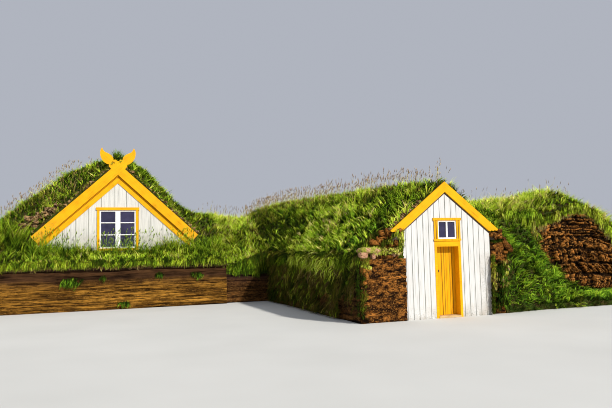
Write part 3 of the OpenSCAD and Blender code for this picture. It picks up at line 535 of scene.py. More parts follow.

# %% [markdown]
# ## Turf walls
#
# The walls are built of turf, not stone: long strips laid flat in the front wall, and slanted
# wedge-shaped blocks in the wing, which give its herringbone. Their joints are deep and their
# faces bulge. Bump alone wouldn't change the outline, so each visible face gets a relief: a
# grid of points moved outwards by a pattern, closed at the back, over the plain solid.
#
# The pattern also tells the finish how deep a point lies, which the finish paints as shade in
# joints, cracks and low places, and which strip or block it belongs to (`tone`), whose tone is
# lighter where the face stands out: partly its own tone, partly a painted highlight.

# %% Finish for turf walls
def turf_wall(name, dark, body, light, fibre_x=9, fibre_z=70, damp_and_shade=None, damp_and_shade_colour=(0.020, 0.010, 0.007),
              grain=(22, 30), pits=0.85, flecks=0.7, fleck_colour=(0.50, 0.27, 0.085)):
    """dark, body and light are its colours from joint to face, damp the height in metres above which
    it turns darker, partly with moisture and partly as painted shade under the overhang, and grain,
    pits and flecks how fine and how strong its crumbs are; the dark pits are painted shade."""
    f = Finish(name, 0.95)
    fibres = f.noise(1.0, 5, f.stretched(fibre_x, fibre_x, fibre_z), 0.7)
    crumbs = f.noise(1.0, 3, f.stretched(grain[0], grain[0], grain[1]), 0.7)
    specks = f.noise(1.0, 2, f.stretched(1.3 * grain[1], 1.3 * grain[1], 1.3 * grain[1]), 0.6)
    patch = f.noise(1.7, 3)
    # The tone is the strip's or block's own tone, with a painted highlight where the face stands out.
    tone = f.plus(f.times(fibres, 0.45), f.times(f.mark("tone"), 0.38))
    tone = f.plus(tone, f.times(patch, 0.17))
    colour = f.ramp(tone, (0.38, dark), (0.475, body), (0.57, light),
                    (0.68, tuple(min(1, 1.6 * c) for c in light)))
    # Low crumbs are painted darker: painted shade in the pits.
    colour = f.mix(f.ramp(crumbs, (0.40, pits), (0.52, 0.0)), colour, tuple(0.5 * c for c in dark))
    colour = f.mix(f.ramp(specks, (0.56, 0.0), (0.66, flecks)), colour, fleck_colour)
    if damp_and_shade:
        # Above the given height the turf turns darker: partly damp, partly painted shade under the overhang.
        damp_and_shade_z = f.plus(f.axis(2), f.times(f.minus(f.noise(2.5, 3), 0.5), 0.20))
        edge = damp_and_shade / 2
        damp_and_shade_share = f.ramp(f.times(damp_and_shade_z, 0.5), (edge - 0.16, 0.0), (edge - 0.05, 0.50), (edge + 0.02, 0.94))
        damp_and_shade_tones = f.ramp(tone, (0.36, tuple(0.3 * c for c in damp_and_shade_colour)),
                            (0.62, tuple(2.2 * c for c in damp_and_shade_colour)))
        colour = f.mix(damp_and_shade_share, colour, damp_and_shade_tones)
    # Deep points are painted darker: painted shade in joints, cracks and low places.
    colour = f.mix(f.ramp(f.mark("hollow"), (0.25, 0.0), (0.9, 0.95)), colour, tuple(0.12 * c for c in dark))
    f.bump(f.plus(fibres, f.times(crumbs, 0.8)), 0.8, 0.02)
    return f.colour(colour)


strip_turf = turf_wall("strip_turf_dry", (0.030, 0.012, 0.002), (0.092, 0.039, 0.005), (0.310, 0.145, 0.020),
                       1.8, 38, damp_and_shade=0.95, damp_and_shade_colour=(0.026, 0.012, 0.006), grain=(5, 40), pits=0.80,
                       flecks=0.45, fleck_colour=(0.56, 0.28, 0.06))
dark_turf = turf_wall("strip_turf_shaded", (0.014, 0.006, 0.002), (0.055, 0.022, 0.006), (0.160, 0.066, 0.016),
                      damp_and_shade=0.8, grain=(12, 34), flecks=0.35)
pier_turf = turf_wall("crumbly_turf", (0.020, 0.008, 0.003), (0.085, 0.030, 0.006), (0.260, 0.098, 0.018), 12,
                      40, grain=(12, 30), pits=0.95, flecks=0.7, fleck_colour=(0.48, 0.21, 0.045))
edge_turf = turf_wall("cut_edge_turf", (0.024, 0.011, 0.004), (0.100, 0.052, 0.018), (0.300, 0.180, 0.075), 16,
                      22, grain=(15, 22), pits=0.95, flecks=0.8, fleck_colour=(0.58, 0.42, 0.24))
block_turf = turf_wall("block_turf_cut", (0.012, 0.005, 0.0015), (0.078, 0.029, 0.006), (0.345, 0.128, 0.024),
                       22, 34, grain=(20, 20), pits=0.95, flecks=0.9, fleck_colour=(0.60, 0.29, 0.075))

# %% [markdown]
# ### Patterns
#
# A pattern is a function that says for each point of a wall how far it stands out, how deep it
# lies in a joint and what tone it has. A painted picture could say the same, but a function stays
# sharp at any size and serves the next wall with other numbers.

# %% Patterns of strips and of slanted blocks
def strip_pattern(strips, wave, jut, seed):
    """Flat strips; strips lists their thicknesses from the foot up, and repeats."""
    def pattern(s, z):
        p = np.stack([s, np.zeros_like(s), z], 1)
        flat = np.stack([s, np.zeros_like(s), 0.6 * z], 1)
        warped = z + wave * (noise(flat, 1.9, seed) - 0.5) * 2.4 + 0.5 * wave * (noise(p, 0.5, seed + 1) - 0.5)
        edges = np.concatenate([[0], np.cumsum(list(strips) * 12)])
        which = np.clip(np.searchsorted(edges, warped, "right") - 1, 0, len(edges) - 2)
        share = (warped - edges[which]) / (edges[which + 1] - edges[which])
        own = np.stack([s * 0.6, which * 7.3, which * 3.1], 1)
        tone = layered(own, [1.1, 1, 1], 2, seed + 3)
        bulge = 1 - np.abs(2 * share - 1) ** 3.2
        lumps = layered(p, [0.30, 1, 0.06], 3, seed + 5)
        cut = ease(0.82, 0.92, noise(np.stack([s, which * 5.0, which * 1.7], 1), [0.30, 1, 1], seed + 7))
        depth = jut * (0.55 * bulge + 0.9 * (tone - 0.5) + (lumps - 0.5)) - 0.4 * jut * cut
        soft = noise(np.stack([s, which * 2.3, which * 0.0], 1), [0.7, 1, 1], seed + 9)
        # Painted shade in the joints and cuts; in the tone below, lumps that stand out are lighter, a painted
        # highlight.
        hollow = np.clip((1.05 - bulge * 1.2) * (0.55 + 1.1 * soft), 0, 1) + 0.4 * cut * (bulge > 0.3)
        return depth, np.clip(hollow, 0, 1), np.clip(0.5 * tone + 0.6 * lumps - 0.05, 0, 1)
    return pattern


def slanted_pattern(edges, leans, widths, arch, jut, seed):
    """Courses of slanted blocks. edges are the courses' heights, leans how far each course's
    blocks lean, widths how wide they are, and arch lowers the courses towards the sides."""
    edges, leans, widths = np.array(edges), np.array(leans), np.array(widths)

    def pattern(s, z):
        p = np.stack([s, np.zeros_like(s), z], 1)
        level = z + arch(s, z) + 0.12 * (noise(p, 0.8, seed) - 0.5) + 0.07 * (noise(p, 0.28, seed + 2) - 0.5)
        course = np.clip(np.searchsorted(edges, level, "right") - 1, 0, len(edges) - 2)
        tall = edges[course + 1] - edges[course]
        rise = (level - edges[course]) / tall
        wavy = 0.09 * (noise(p, 0.16, seed + 1) - 0.5)
        along = (s - leans[course] * rise * tall + wavy) / widths[course] + course * 0.37
        along += 0.9 * (noise(np.stack([along, course * 9.0, course * 1.0], 1), 1.4, seed + 4) - 0.5)
        block = np.floor(along)
        share = along - block
        jitter = corner_value(np.stack([block, course, block * 0], 1).astype(np.int64), seed)
        split = corner_value(np.stack([block, course, block * 0 + 3], 1).astype(np.int64), seed + 8)
        own_tone = corner_value(np.stack([block, course, block * 0 + 5], 1).astype(np.int64), seed + 9)
        round_side = 1 - np.abs(2 * share - 1) ** 3.0
        round_top = 1 - np.abs(2 * rise - 1) ** 4.0
        cross = np.clip(np.abs(rise - 0.3 - 0.4 * split) * tall / 0.03, 0, 1)
        body = round_side * round_top * np.where((split > 0.45) & (tall > 0.2), cross, 1)
        lumps = layered(p, [0.11, 1, 0.075], 3, seed + 5)
        crumbs = noise(p, [0.05, 1, 0.04], seed + 10)
        gone = ease(0.20, 0.12, jitter) * ease(0.25, 0.6, body)
        slot = ease(0.46, 0.60, noise(p * [1, 1, 0.2], 0.75, seed + 6)) * (np.abs(rise - 0.95) * tall < 0.045)
        depth = jut * (0.9 * body + 1.0 * (jitter - 0.5) + 0.7 * body * (share - 0.4) + 0.9 * (lumps - 0.5)
                       + 0.6 * (crumbs - 0.5))
        depth -= jut * (0.7 * slot + 0.5 * gone)
        # Painted shade in the joints, slots, missing blocks and low lumps and crumbs.
        hollow = np.clip(1.15 - 1.9 * body, 0, 1) + slot + 0.7 * gone + 0.8 * ease(0.42, 0.26, lumps)
        hollow = hollow + 0.6 * ease(0.40, 0.2, crumbs)
        # Each block's own tone, lighter where lumps and crumbs stand out and on its proud side: a painted
        # highlight.
        tone = 0.08 + 0.50 * own_tone + 0.8 * (lumps - 0.45) + 0.5 * (crumbs - 0.4)
        tone = tone + 0.35 * ease(0.45, 0.85, share)
        return depth, np.clip(hollow, 0, 1), np.clip(tone, 0, 1)
    return pattern


# %% [markdown]
# ### Relief
#
# The face of a wall becomes a grid of points, moved outwards by a pattern. Displacement in the
# finish would look the same but is lost on export, so the points of the mesh itself are moved.
# The slab is closed at its sides and its back.

# %% Laying a relief over a wall's face
leftwards, rightwards, forwards, backwards = (-1, 0, 0), (1, 0, 0), (0, -1, 0), (0, 1, 0)
least_proud, deepest = 0.012, -0.008


def relief(name, start, along, length, height, lean, pattern, cell, finish, out, back=0.05, base=0.0):
    """A closed slab whose face follows the pattern. height is the wall's height, or a function
    of the way along it, and lean is how far the face falls back per metre of height."""
    along, out = np.array(along, float), np.array(out, float)
    ns = max(2, int(round(length / cell)))
    s_line = np.linspace(0, length, ns + 1)
    tops = height(s_line) if callable(height) else np.full(ns + 1, height)
    nz = max(2, int(round(tops.max() / cell)))
    s, k = np.meshgrid(s_line, np.linspace(0, 1, nz + 1), indexing="ij")
    s, z = s.ravel(), (k * tops[:, None]).ravel()
    depth, hollow, tone = pattern(s, z + base)
    foot = np.array([start[0], start[1], base])
    flat = foot + s[:, None] * along + z[:, None] * (np.array([0, 0, 1.0]) - lean * out)
    face = flat + (least_proud + np.maximum(depth, deepest))[:, None] * out
    index = np.arange((ns + 1) * (nz + 1)).reshape(ns + 1, nz + 1)
    quads = np.stack([index[:-1, :-1], index[1:, :-1], index[1:, 1:], index[:-1, 1:]], -1).reshape(-1, 4)
    rim = np.concatenate([index[:, 0], index[-1, 1:], index[-2::-1, -1], index[0, -2:0:-1]])
    behind = flat[rim] - back * out
    n, m = len(face), len(rim)
    skirt = np.stack([rim, n + np.arange(m), n + (np.arange(m) + 1) % m, np.roll(rim, -1)], -1)
    centre = behind.mean(0)
    lid = np.stack([n + (np.arange(m) + 1) % m, n + np.arange(m), np.full(m, n + m)], -1)
    if np.cross(along, [0, 0, 1]) @ out <= 0:
        quads, skirt, lid = quads[:, ::-1], skirt[:, ::-1], lid[:, ::-1]
    points = np.concatenate([face, behind, centre[None]])
    pad = np.zeros(m + 1)
    marks = dict(hollow=np.concatenate([hollow, pad + 0.6]), tone=np.concatenate([tone, pad + 0.4]))
    piece = new_piece(name, points, [quads, skirt, lid], finish, smooth=True, marks=marks)
    print(name, "%.1f m long," % length, triangles_of(piece), "triangles")
    return piece


# %% [markdown]
# ### The front wall and the recess
#
# The long front wall shows nine or ten strips, golden brown and dry below. Under the bank they
# are nearly black, partly damp and partly painted shade from the overhang, and the top strips take
# the shaded copy of the finish. The recess wall is the same work in the shade.

# %% Front wall, recess wall and the shaded flank
fine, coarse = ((0.028, 0.10))
front_strips = strip_pattern([0.09, 0.12, 0.08, 0.13, 0.10, 0.07, 0.12, 0.09], 0.055, 0.060, 11)
relief("front_wall_strips", (-10.5, 0.2), rightwards, 8.0, 1.25, 0.056, front_strips, fine,
       strip_turf, forwards)
relief("front_lip_strips", (-10.5, 0.222), rightwards, 8.0, 0.18, 0.0, front_strips, fine, dark_turf,
       forwards, base=1.245)
recess_strips = strip_pattern([0.17, 0.21, 0.15, 0.19], 0.03, 0.05, 23)
relief("recess_wall_strips", (-2.5, 0.4), rightwards, 1.62, 0.95, 0.074, recess_strips, fine,
       dark_turf, forwards)
flank_strips = strip_pattern([0.15, 0.19, 0.13, 0.17], 0.05, 0.06, 31)
relief("flank_wall_strips", (-0.9, 0.45), forwards, 7.42, lambda s: 1.43 + 0.06 * ease(6.9, 7.0, s), 0.048,
       flank_strips, 0.042, dark_turf, leftwards)

# %% [markdown]
# ### The piers beside the door
#
# Two stubs of earth hold the gable. The left one is broad, crumbly and warm brown, with one pale
# course across it and a few cracks, and the right one is a narrow column half lost in green.

# %% Piers
pier_strips = strip_pattern([0.26, 0.22, 0.30, 0.24, 0.07, 0.30], 0.03, 0.060, 41)
# Each crack: place along, height, half its width, half its height
pier_cracks = [(0.66, 1.22, 0.022, 0.08), (0.39, 0.66, 0.024, 0.08), (0.84, 0.34, 0.028, 0.15),
               (0.20, 0.95, 0.018, 0.06), (0.58, 1.38, 0.018, 0.05), (1.02, 0.80, 0.012, 0.08),
               (0.33, 0.30, 0.022, 0.05)]


def pier_pattern(s, z):
    depth, hollow, tone = pier_strips(s, z)
    p = np.stack([s, np.zeros_like(s), z], 1)
    rough = layered(p, [0.17, 1, 0.075], 4, 47)
    crumb = layered(p, [0.065, 1, 0.035], 2, 49)
    crack = np.zeros(len(s))
    for at, up, half_w, half_h in pier_cracks:
        wander = 0.03 * (noise(p, 0.06, 57) - 0.5)
        inside = np.hypot((s + wander - at) / half_w, (z - up) / half_h)
        crack = np.maximum(crack, ease(1.3, 0.5, inside))
    pale = ease(0.045, 0.02, np.abs(z - 1.05 - 0.02 * (s - 0.8)))
    pale = pale * ease(0.42, 0.62, s + 0.2 * (noise(p, 0.1, 59) - 0.5))
    depth = 0.4 * depth + 0.060 * (rough - 0.42) + 0.024 * (crumb - 0.5) - 0.05 * crack + 0.012 * pale
    # Painted shade in the cracks and low places.
    hollow = 0.45 * hollow + crack + 0.8 * ease(0.44, 0.27, rough) + 0.5 * ease(0.38, 0.22, crumb)
    # More painted shade towards the left edge of the pier, which lies in the shade.
    hollow = hollow + 0.7 * ease(0.22, 0.0, s + 0.1 * (rough - 0.5))
    # Lighter where the face stands out, a painted highlight over its own tone; the pale course is its own
    # colour.
    tone = 0.46 + 0.35 * (tone - 0.5) + 1.25 * (rough - 0.5) + 0.6 * (crumb - 0.5) + 0.40 * pale
    return depth, np.clip(hollow * (1 - 0.8 * pale), 0, 1), np.clip(tone, 0, 1)


relief("left_pier_face", (-0.9, -6.985), rightwards, 1.23, 1.50, 0.0, pier_pattern, fine * 0.8,
       pier_turf, forwards, back=0.008)
relief("right_pier_face", (2.815, -6.84), rightwards, 0.50, lambda s: 1.88 - 0.06 * s, 0.0, pier_pattern,
       fine * 0.8, pier_turf, forwards)

# %% [markdown]
# ### The wing's herringbone
#
# Blocks cut with a curved spade are set on edge and leaned, and each course leans the other way.
# Some have slumped and split, dark slots have opened between the courses, and the courses rise
# towards the crown.

# %% Herringbone wall
def edge_heights(node, axis, value, other):
    """Highest points of a node's edge at a place, as a function along the other axis."""
    mesh = nodes[node].data
    co = np.zeros(len(mesh.vertices) * 3, np.float32)
    mesh.vertices.foreach_get("co", co)
    co = co.reshape(-1, 3)
    near = co[np.abs(co[:, axis] - value) < 0.004]
    places = np.unique(np.round(near[:, other], 3))
    highs = [near[np.abs(near[:, other] - p) < 0.004][:, 2].max() for p in places]
    return lambda q: np.interp(q, places, highs)


wing_line = edge_heights("wing_wall", 1, -4.0, 0)
crown = 8.42
herring_edges = [-0.1, 0.24, 0.74, 1.11, 1.58, 2.04, 2.14, 2.24, 2.33, 2.45, 2.56, 2.68, 2.82, 3.0, 3.3, 3.7]
herring_leans = [-0.3, 0.35, -0.95, -0.25, 0.2] + [0] * 10
herring_widths = [0.16, 0.15, 0.115, 0.15, 0.17] + [0.42] * 10


def herring_arch(s, z):
    """How far the courses have sunk at a place; nothing under the crown."""
    return (0.10 + 0.36 * ease(0.9, 2.3, z)) * ((s + 5.3 - crown) / 1.8) ** 2


herring = slanted_pattern(herring_edges, herring_leans, herring_widths, herring_arch, 0.085, 61)
relief("wing_herringbone", (5.3, -4.0), rightwards, 5.2, lambda s: wing_line(s + 5.3), 0.0, herring, fine * 0.9,
       block_turf, forwards)

# %% [markdown]
# ### Party walls and the back
#
# The ends and the back aren't in the picture. They repeat the flat strips plainly, on a coarser
# grid, up to the edge of the turf above.

# %% Ends and back
plain_strips = strip_pattern([0.18, 0.22, 0.16, 0.20], 0.03, 0.04, 71)
wing_end = edge_heights("wing_turf", 0, 10.5, 1)
wing_back = edge_heights("wing_turf", 1, -0.9, 0)
left_back = edge_heights("left_back_wall", 1, 7.0, 0)
saddle_back = edge_heights("saddle_turf", 1, 7.0, 0)
door_back = edge_heights("door_back_wall", 1, 7.0, 0)
for name, start, along, length, height, out in [
        ("left_end_strips", (-10.5, 7.0), forwards, 6.8, lambda s: np.where(7.0 - s < 1.57, 1.25, 1.89),
         leftwards),
        ("right_end_strips", (10.5, -4.0), backwards, 3.1, lambda s: wing_end(np.maximum(s - 4.0, -3.9)) - 0.12,
         rightwards),
        ("wing_back_strips", (10.5, -0.9), leftwards, 6.69, lambda s: wing_back(10.5 - s) - 0.12, backwards),
        ("flank_right_strips", (3.81, -0.9), backwards, 7.9, 1.78, rightwards),
        ("left_back_strips", (-2.5, 7.0), leftwards, 8.0, lambda s: left_back(-2.5 - s), backwards),
        ("saddle_back_strips", (-0.9, 7.0), leftwards, 1.6, lambda s: saddle_back(-0.9 - s) - 0.1, backwards),
        ("door_back_strips", (3.81, 7.0), leftwards, 4.71, lambda s: door_back(3.81 - s), backwards)]:
    relief(name, start, along, length, height, 0.0, plain_strips, coarse, dark_turf, out)

# %% [markdown]
# ### The walls behind
#
# The plain solids behind the reliefs get the same finishes, so a gap at a corner or an inner wall
# seen through the door still looks like turf.

# %% The same finishes on the walls behind the reliefs
dress(strip_turf, "left_front_wall")
dress(dark_turf, "left_end_wall", "left_inner_wall", "left_back_wall", "recess_wall", "flank_wall_left",
      "flank_wall_right", "door_back_wall")
dress(pier_turf, "left_pier", "right_pier")
dress(block_turf, "wing_wall")

# %% [markdown]
# ## Glazing bars
#
# Each casement of the large window has three panes. The bars are thin and moulded: a flat face
# with chamfers that run back to the glass. A bar is a six-sided section drawn out along X.

# %% Bars across the window
def moulded_bar(name, x0, x1, z, width, y_glass, y_face, finish):
    """A bar from x0 to x1 at height z, from the glass out to its flat face."""
    w = width / 2
    section = [(-w, y_glass), (-w, y_glass - 0.008), (-w * 0.45, y_face), (w * 0.45, y_face),
               (w, y_glass - 0.008), (w, y_glass)]
    points = [(x, y, z + dz) for x in (x0, x1) for dz, y in section]
    sides = [(i, (i + 1) % 6, 6 + (i + 1) % 6, 6 + i) for i in range(6)]
    ends = [(5, 4, 3, 2), (5, 2, 1, 0), (6, 7, 8, 9), (6, 9, 10, 11)]
    piece = new_piece(name, np.array(points), np.array(sides + ends), finish)
    bevel = piece.modifiers.new("soft_edges", "BEVEL")
    bevel.width = 0.0015
    return piece


glass_lo, glass_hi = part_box("left_window_glass")
window_mid = (glass_lo.x + glass_hi.x) / 2
casements = (glass_lo.x + 0.02, window_mid - 0.08), (window_mid + 0.08, glass_hi.x - 0.02)
for side, (x0, x1) in enumerate(casements):
    for row, z in enumerate((2.80, 2.39)):
        moulded_bar(f"window_bar_{side}_{row}", x0, x1, z, 0.040, glass_lo.y, glass_lo.y - 0.027, sash_finish)
print("bars: 4, behind them", round(glass_hi.z - glass_lo.z, 2), "m of glass")

# %% [markdown]
# ## Keyhole plate
#
# The latch side of the door shows by one small thing, an oval iron plate. It is built from rings:
# two round its rim, one where it narrows, and two that sink in to the keyhole. It rides with the
# door.

# %% Keyhole plate
leaf_lo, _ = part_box("door_leaf")
corners = 24
angles = np.linspace(0, 2 * np.pi, corners, endpoint=False)
oval = np.stack([0.017 * np.cos(angles), 0 * angles, 0.036 * np.sin(angles)], 1)
plate_x, plate_z = leaf_lo.x + 0.16, 1.15
rings = [oval * share + [plate_x, leaf_lo.y + away, plate_z]
         for share, away in ((1, 0.001), (1, -0.004), (0.85, -0.006), (0.2, -0.006), (0.2, 0.0))]
i = np.arange(corners)
after = (i + 1) % corners
plate_faces = [np.stack([i, after, after + corners, i + corners], 1) + corners * ring
               for ring in range(len(rings) - 1)]
new_piece("keyhole_plate", np.concatenate(rings), np.concatenate(plate_faces), iron_finish, body="door",
          smooth=True)
print("keyhole plate at", [round(float(v), 3) for v in rings[1].mean(0)])

# %% [markdown]
# ## Stones on the pier
#
# A few flat stones weigh the pier's top down. Each starts as a ball of triangles, is flattened
# to the size of its solid in the frame, and is then pushed in and out by noise until its edges
# break. It stands for the plain solid, which is hidden.

# %% Stones
stone = Finish("field_stone", 0.85)
speckle = stone.noise(30, 5)
moss_at = stone.ramp(stone.plus(stone.noise(9, 4), stone.minus(stone.axis(2), 1.66)), (0.50, 0.0), (0.58, 1.0))
rock = stone.ramp(speckle, (0.3, (0.12, 0.055, 0.030)), (0.5, (0.42, 0.22, 0.125)), (0.75, (0.66, 0.42, 0.27)))
stone.bump(speckle, 0.5, 0.01)
moss = stone.ramp(speckle, (0.3, (0.12, 0.13, 0.015)), (0.7, (0.38, 0.38, 0.06)))
stone_finish = stone.colour(stone.mix(moss_at, rock, moss))


def field_stone(centre, size, seed):
    """Points and faces of one stone."""
    bpy.ops.mesh.primitive_ico_sphere_add(subdivisions=4, radius=1)
    ball = bpy.context.object
    co = np.zeros(len(ball.data.vertices) * 3, np.float32)
    ball.data.vertices.foreach_get("co", co)
    co = co.reshape(-1, 3).astype(float)
    boxy = np.sign(co) * np.abs(co) ** 0.72
    lump = 0.76 + 0.46 * layered(co + seed, 0.9, 4, seed)
    chips = np.round(layered(co + seed * 3.1, 0.7, 2, seed + 9) * 5) / 5 * 0.12
    shape = boxy * (lump + chips - 0.1)[:, None] * (np.array(size) / 2) + np.array(centre)
    faces = np.array([p.vertices[:] for p in ball.data.polygons])
    bpy.data.objects.remove(ball)
    return shape, faces


# Each stone: its middle, its size and a seed for its shape
pier_stones = [((-0.62, -6.90, 1.71), (0.58, 0.32, 0.17), 3),
               ((-0.76, -6.93, 1.60), (0.24, 0.20, 0.22), 4),
               ((-0.52, -6.93, 1.56), (0.13, 0.18, 0.20), 5),
               ((0.20, -6.91, 1.64), (0.19, 0.18, 0.18), 8),
               ((0.06, -6.86, 1.58), (0.12, 0.2, 0.12), 12)]
shapes, all_faces, count = [], [], 0
for centre, size, seed in pier_stones:
    shape, faces = field_stone(centre, size, seed)
    shapes.append(shape)
    all_faces.append(faces + count)
    count += len(shape)
stones = new_piece("pier_stones_weathered", np.concatenate(shapes), np.concatenate(all_faces), stone_finish,
                   smooth=True)
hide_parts("pier_stones")
print("stones:", len(shapes), "with", triangles_of(stones), "triangles")

# %% [markdown]
# ## Clods
#
# Where turf was cut off along the bargeboards, and on top of the piers, raw clods of earth show.
# They are made like the stones, but cruder and with the finish of the walls, and every clod has
# its own tone.

# %% Clods of earth
def clods(name, spots, finish, seed, tones=(0.2, 0.9)):
    """spots are (middle, size); each clod is a squarish ball, pushed in and out by noise."""
    rng = np.random.default_rng(seed)
    ball = bmesh.new()
    bmesh.ops.create_icosphere(ball, subdivisions=2, radius=1)
    co = np.array([v.co[:] for v in ball.verts])
    tri = np.array([[v.index for v in f.verts] for f in ball.faces])
    ball.free()
    points, faces, tone, hollow = [], [], [], []
    for i, (centre, size) in enumerate(spots):
        boxy = np.sign(co) * np.abs(co) ** 0.5
        lump = layered(co * [1, 1, 1.6] + 7.1 * i + seed, 0.5, 4, seed + i)
        radius = 0.80 + 0.85 * (lump - 0.45)
        turned = rng.normal(0, 0.18, 3)
        shape = boxy * radius[:, None] * np.array(size) / 2
        about_x, about_y, about_z = (Matrix.Rotation(angle, 3, axis) for angle, axis in zip(turned, "XYZ"))
        points.append(shape @ np.array(about_x @ about_y @ about_z).T + np.array(centre))
        faces.append(tri + i * len(co))
        # Each clod's own tone, lighter where its lumps stand out, a painted highlight; below, painted shade
        # where they sink in.
        tone.append(np.full(len(co), rng.uniform(*tones)) * 0.6 + 0.5 * lump)
        hollow.append(ease(0.42, 0.22, lump))
    piece = new_piece(name, np.concatenate(points), np.concatenate(faces), finish, smooth=True,
                      marks=dict(tone=np.clip(np.concatenate(tone), 0, 1), hollow=np.concatenate(hollow)))
    print(name, len(spots), "clods,", triangles_of(piece), "triangles")
    return piece


def row_of_clods(start, end, count, size, seed, jitter):
    """Places and sizes for clods in a row, each a little off the line."""
    rng = np.random.default_rng(seed)
    start, end = np.array(start, float), np.array(end, float)
    spots = []
    for i in range(count):
        at = start + (end - start) * (i + rng.uniform(0.1, 0.9)) / count + rng.normal(0, jitter, 3)
        spots.append((tuple(at), tuple(np.array(size) * rng.uniform(0.65, 1.35, 3))))
    return spots


rake_spots = row_of_clods((-8.55, 1.45, 2.52), (-6.15, 1.45, 4.72), 40, (0.24, 0.09, 0.11), 401, 0.016)
rake_spots += row_of_clods((-8.85, 1.52, 2.72), (-7.80, 1.46, 3.38), 60, (0.20, 0.12, 0.13), 402, 0.065)
rake_spots += row_of_clods((-5.75, 1.45, 4.70), (-3.2, 1.45, 2.38), 40, (0.20, 0.09, 0.10), 403, 0.016)
clods("clods_left_rakes", rake_spots, edge_turf, 404)
niche_spots = row_of_clods((-0.42, -6.72, 1.78), (0.14, -6.82, 2.22), 16, (0.22, 0.16, 0.14), 405, 0.05)
niche_spots += row_of_clods((-0.10, -6.80, 1.72), (0.22, -6.90, 1.96), 9, (0.18, 0.14, 0.12), 409, 0.04)
niche_spots += row_of_clods((-0.36, -6.86, 1.54), (0.22, -6.88, 1.54), 9, (0.17, 0.16, 0.11), 414, 0.015)
niche_spots += row_of_clods((-0.02, -6.90, 2.02), (0.24, -6.94, 2.20), 7, (0.14, 0.10, 0.11), 410, 0.02)
# Lower tones here are painted shade in the niche.
clods("clods_left_niche", niche_spots, pier_turf, 405, tones=(0.1, 0.8))
ridge_spots = row_of_clods((0.02, -6.90, 2.24), (0.86, -6.90, 2.92), 26, (0.12, 0.10, 0.07), 406, 0.02)
clods("clods_door_rake", ridge_spots, edge_turf, 407)
right_spots = row_of_clods((2.83, -6.965, 2.05), (3.16, -6.90, 2.00), 18, (0.12, 0.09, 0.13), 411, 0.022)
right_spots += row_of_clods((3.18, -6.84, 2.08), (3.50, -6.80, 1.66), 12, (0.17, 0.14, 0.13), 412, 0.035)
right_spots += row_of_clods((3.40, -6.84, 1.62), (3.34, -6.86, 0.95), 9, (0.12, 0.10, 0.12), 413, 0.03)
clods("clods_right_pier", right_spots, pier_turf, 408, tones=(0.0, 0.9))

# %% [markdown]
# ## Grass
#
# The grass is the main thing the eye sees. Hair strands would be the usual way, but strands
# aren't kept when the model is exported, so each blade is a real strip of a few triangles that
# tapers to a point and bends. Blades grow in close tufts, each with its own height, lean and
# tint, so a tuft reads as one stroke from far away and still falls apart into blades close by.
# The tufts follow slow noise over the roof, because evenly spread blades look like a brush, and
# over each cover stand a few single, long and bright blades.
#
# The colour of a blade comes from a small chart: across it the kind of grass, from deep green
# over yellow-green to straw and dry brown, and up it the way from root to tip, which is painted
# light: a nearly black root is painted shade deep in the sward, and the sunny end near the tip a
# painted highlight. Each blade's two coordinates point into that chart, and a tuft painted darker,
# as shaded, only reaches part of the way up.

# %% The chart of grass colours
blade = Finish("grass_blades", 0.85, 0.04)
chart = blade.node("ShaderNodeUVMap", uv_map="OFBake")
split = blade.node("ShaderNodeSeparateXYZ")
blade.link(chart.outputs["UV"], split.inputs[0])
kind, up_blade = split.outputs[0], split.outputs[1]
tips = blade.ramp(kind, (0.0, (0.024, 0.090, 0.008)), (0.20, (0.095, 0.240, 0.014)),
                  (0.40, (0.240, 0.450, 0.018)), (0.58, (0.480, 0.670, 0.022)), (0.72, (0.740, 0.830, 0.050)),
                  (0.84, (0.760, 0.560, 0.150)), (0.93, (0.420, 0.240, 0.100)), (1.0, (0.300, 0.180, 0.150)))
# Nearly black roots are painted shade deep in the sward.
shaded_roots = blade.ramp(kind, (0.0, (0.004, 0.010, 0.001)), (0.5, (0.020, 0.032, 0.002)), (0.8, (0.10, 0.07, 0.012)),
                   (1.0, (0.08, 0.045, 0.025)))
# The sunny colours towards the tips are a painted highlight.
sunny = blade.ramp(kind, (0.0, (0.045, 0.150, 0.012)), (0.20, (0.160, 0.370, 0.024)),
                   (0.40, (0.400, 0.660, 0.040)), (0.58, (0.680, 0.860, 0.065)), (0.72, (0.880, 0.920, 0.160)),
                   (0.84, (0.900, 0.740, 0.320)), (0.93, (0.600, 0.400, 0.230)), (1.0, (0.420, 0.300, 0.260)))
tips = blade.mix(blade.ramp(up_blade, (0.55, 0.0), (1.0, 1.0)), tips, sunny)
grass_finish = blade.colour(blade.mix(blade.ramp(up_blade, (0.0, 0.0), (0.30, 0.13), (0.68, 1.0)), shaded_roots, tips))

# %% [markdown]
# ### Blades, tufts and covers
#
# The helpers build on each other. `blades` turns lines of points into tapering strips, `grow`
# sets a few blades round each place, and `sward` finds places on the turf of a node and decides
# how tall, how bright and how yellow each tuft is. `strokes` is a thin sward of single blades.

# %% Building blades
lowest, highest = 0.004, cad_box[1][2] + 0.14
made = {}


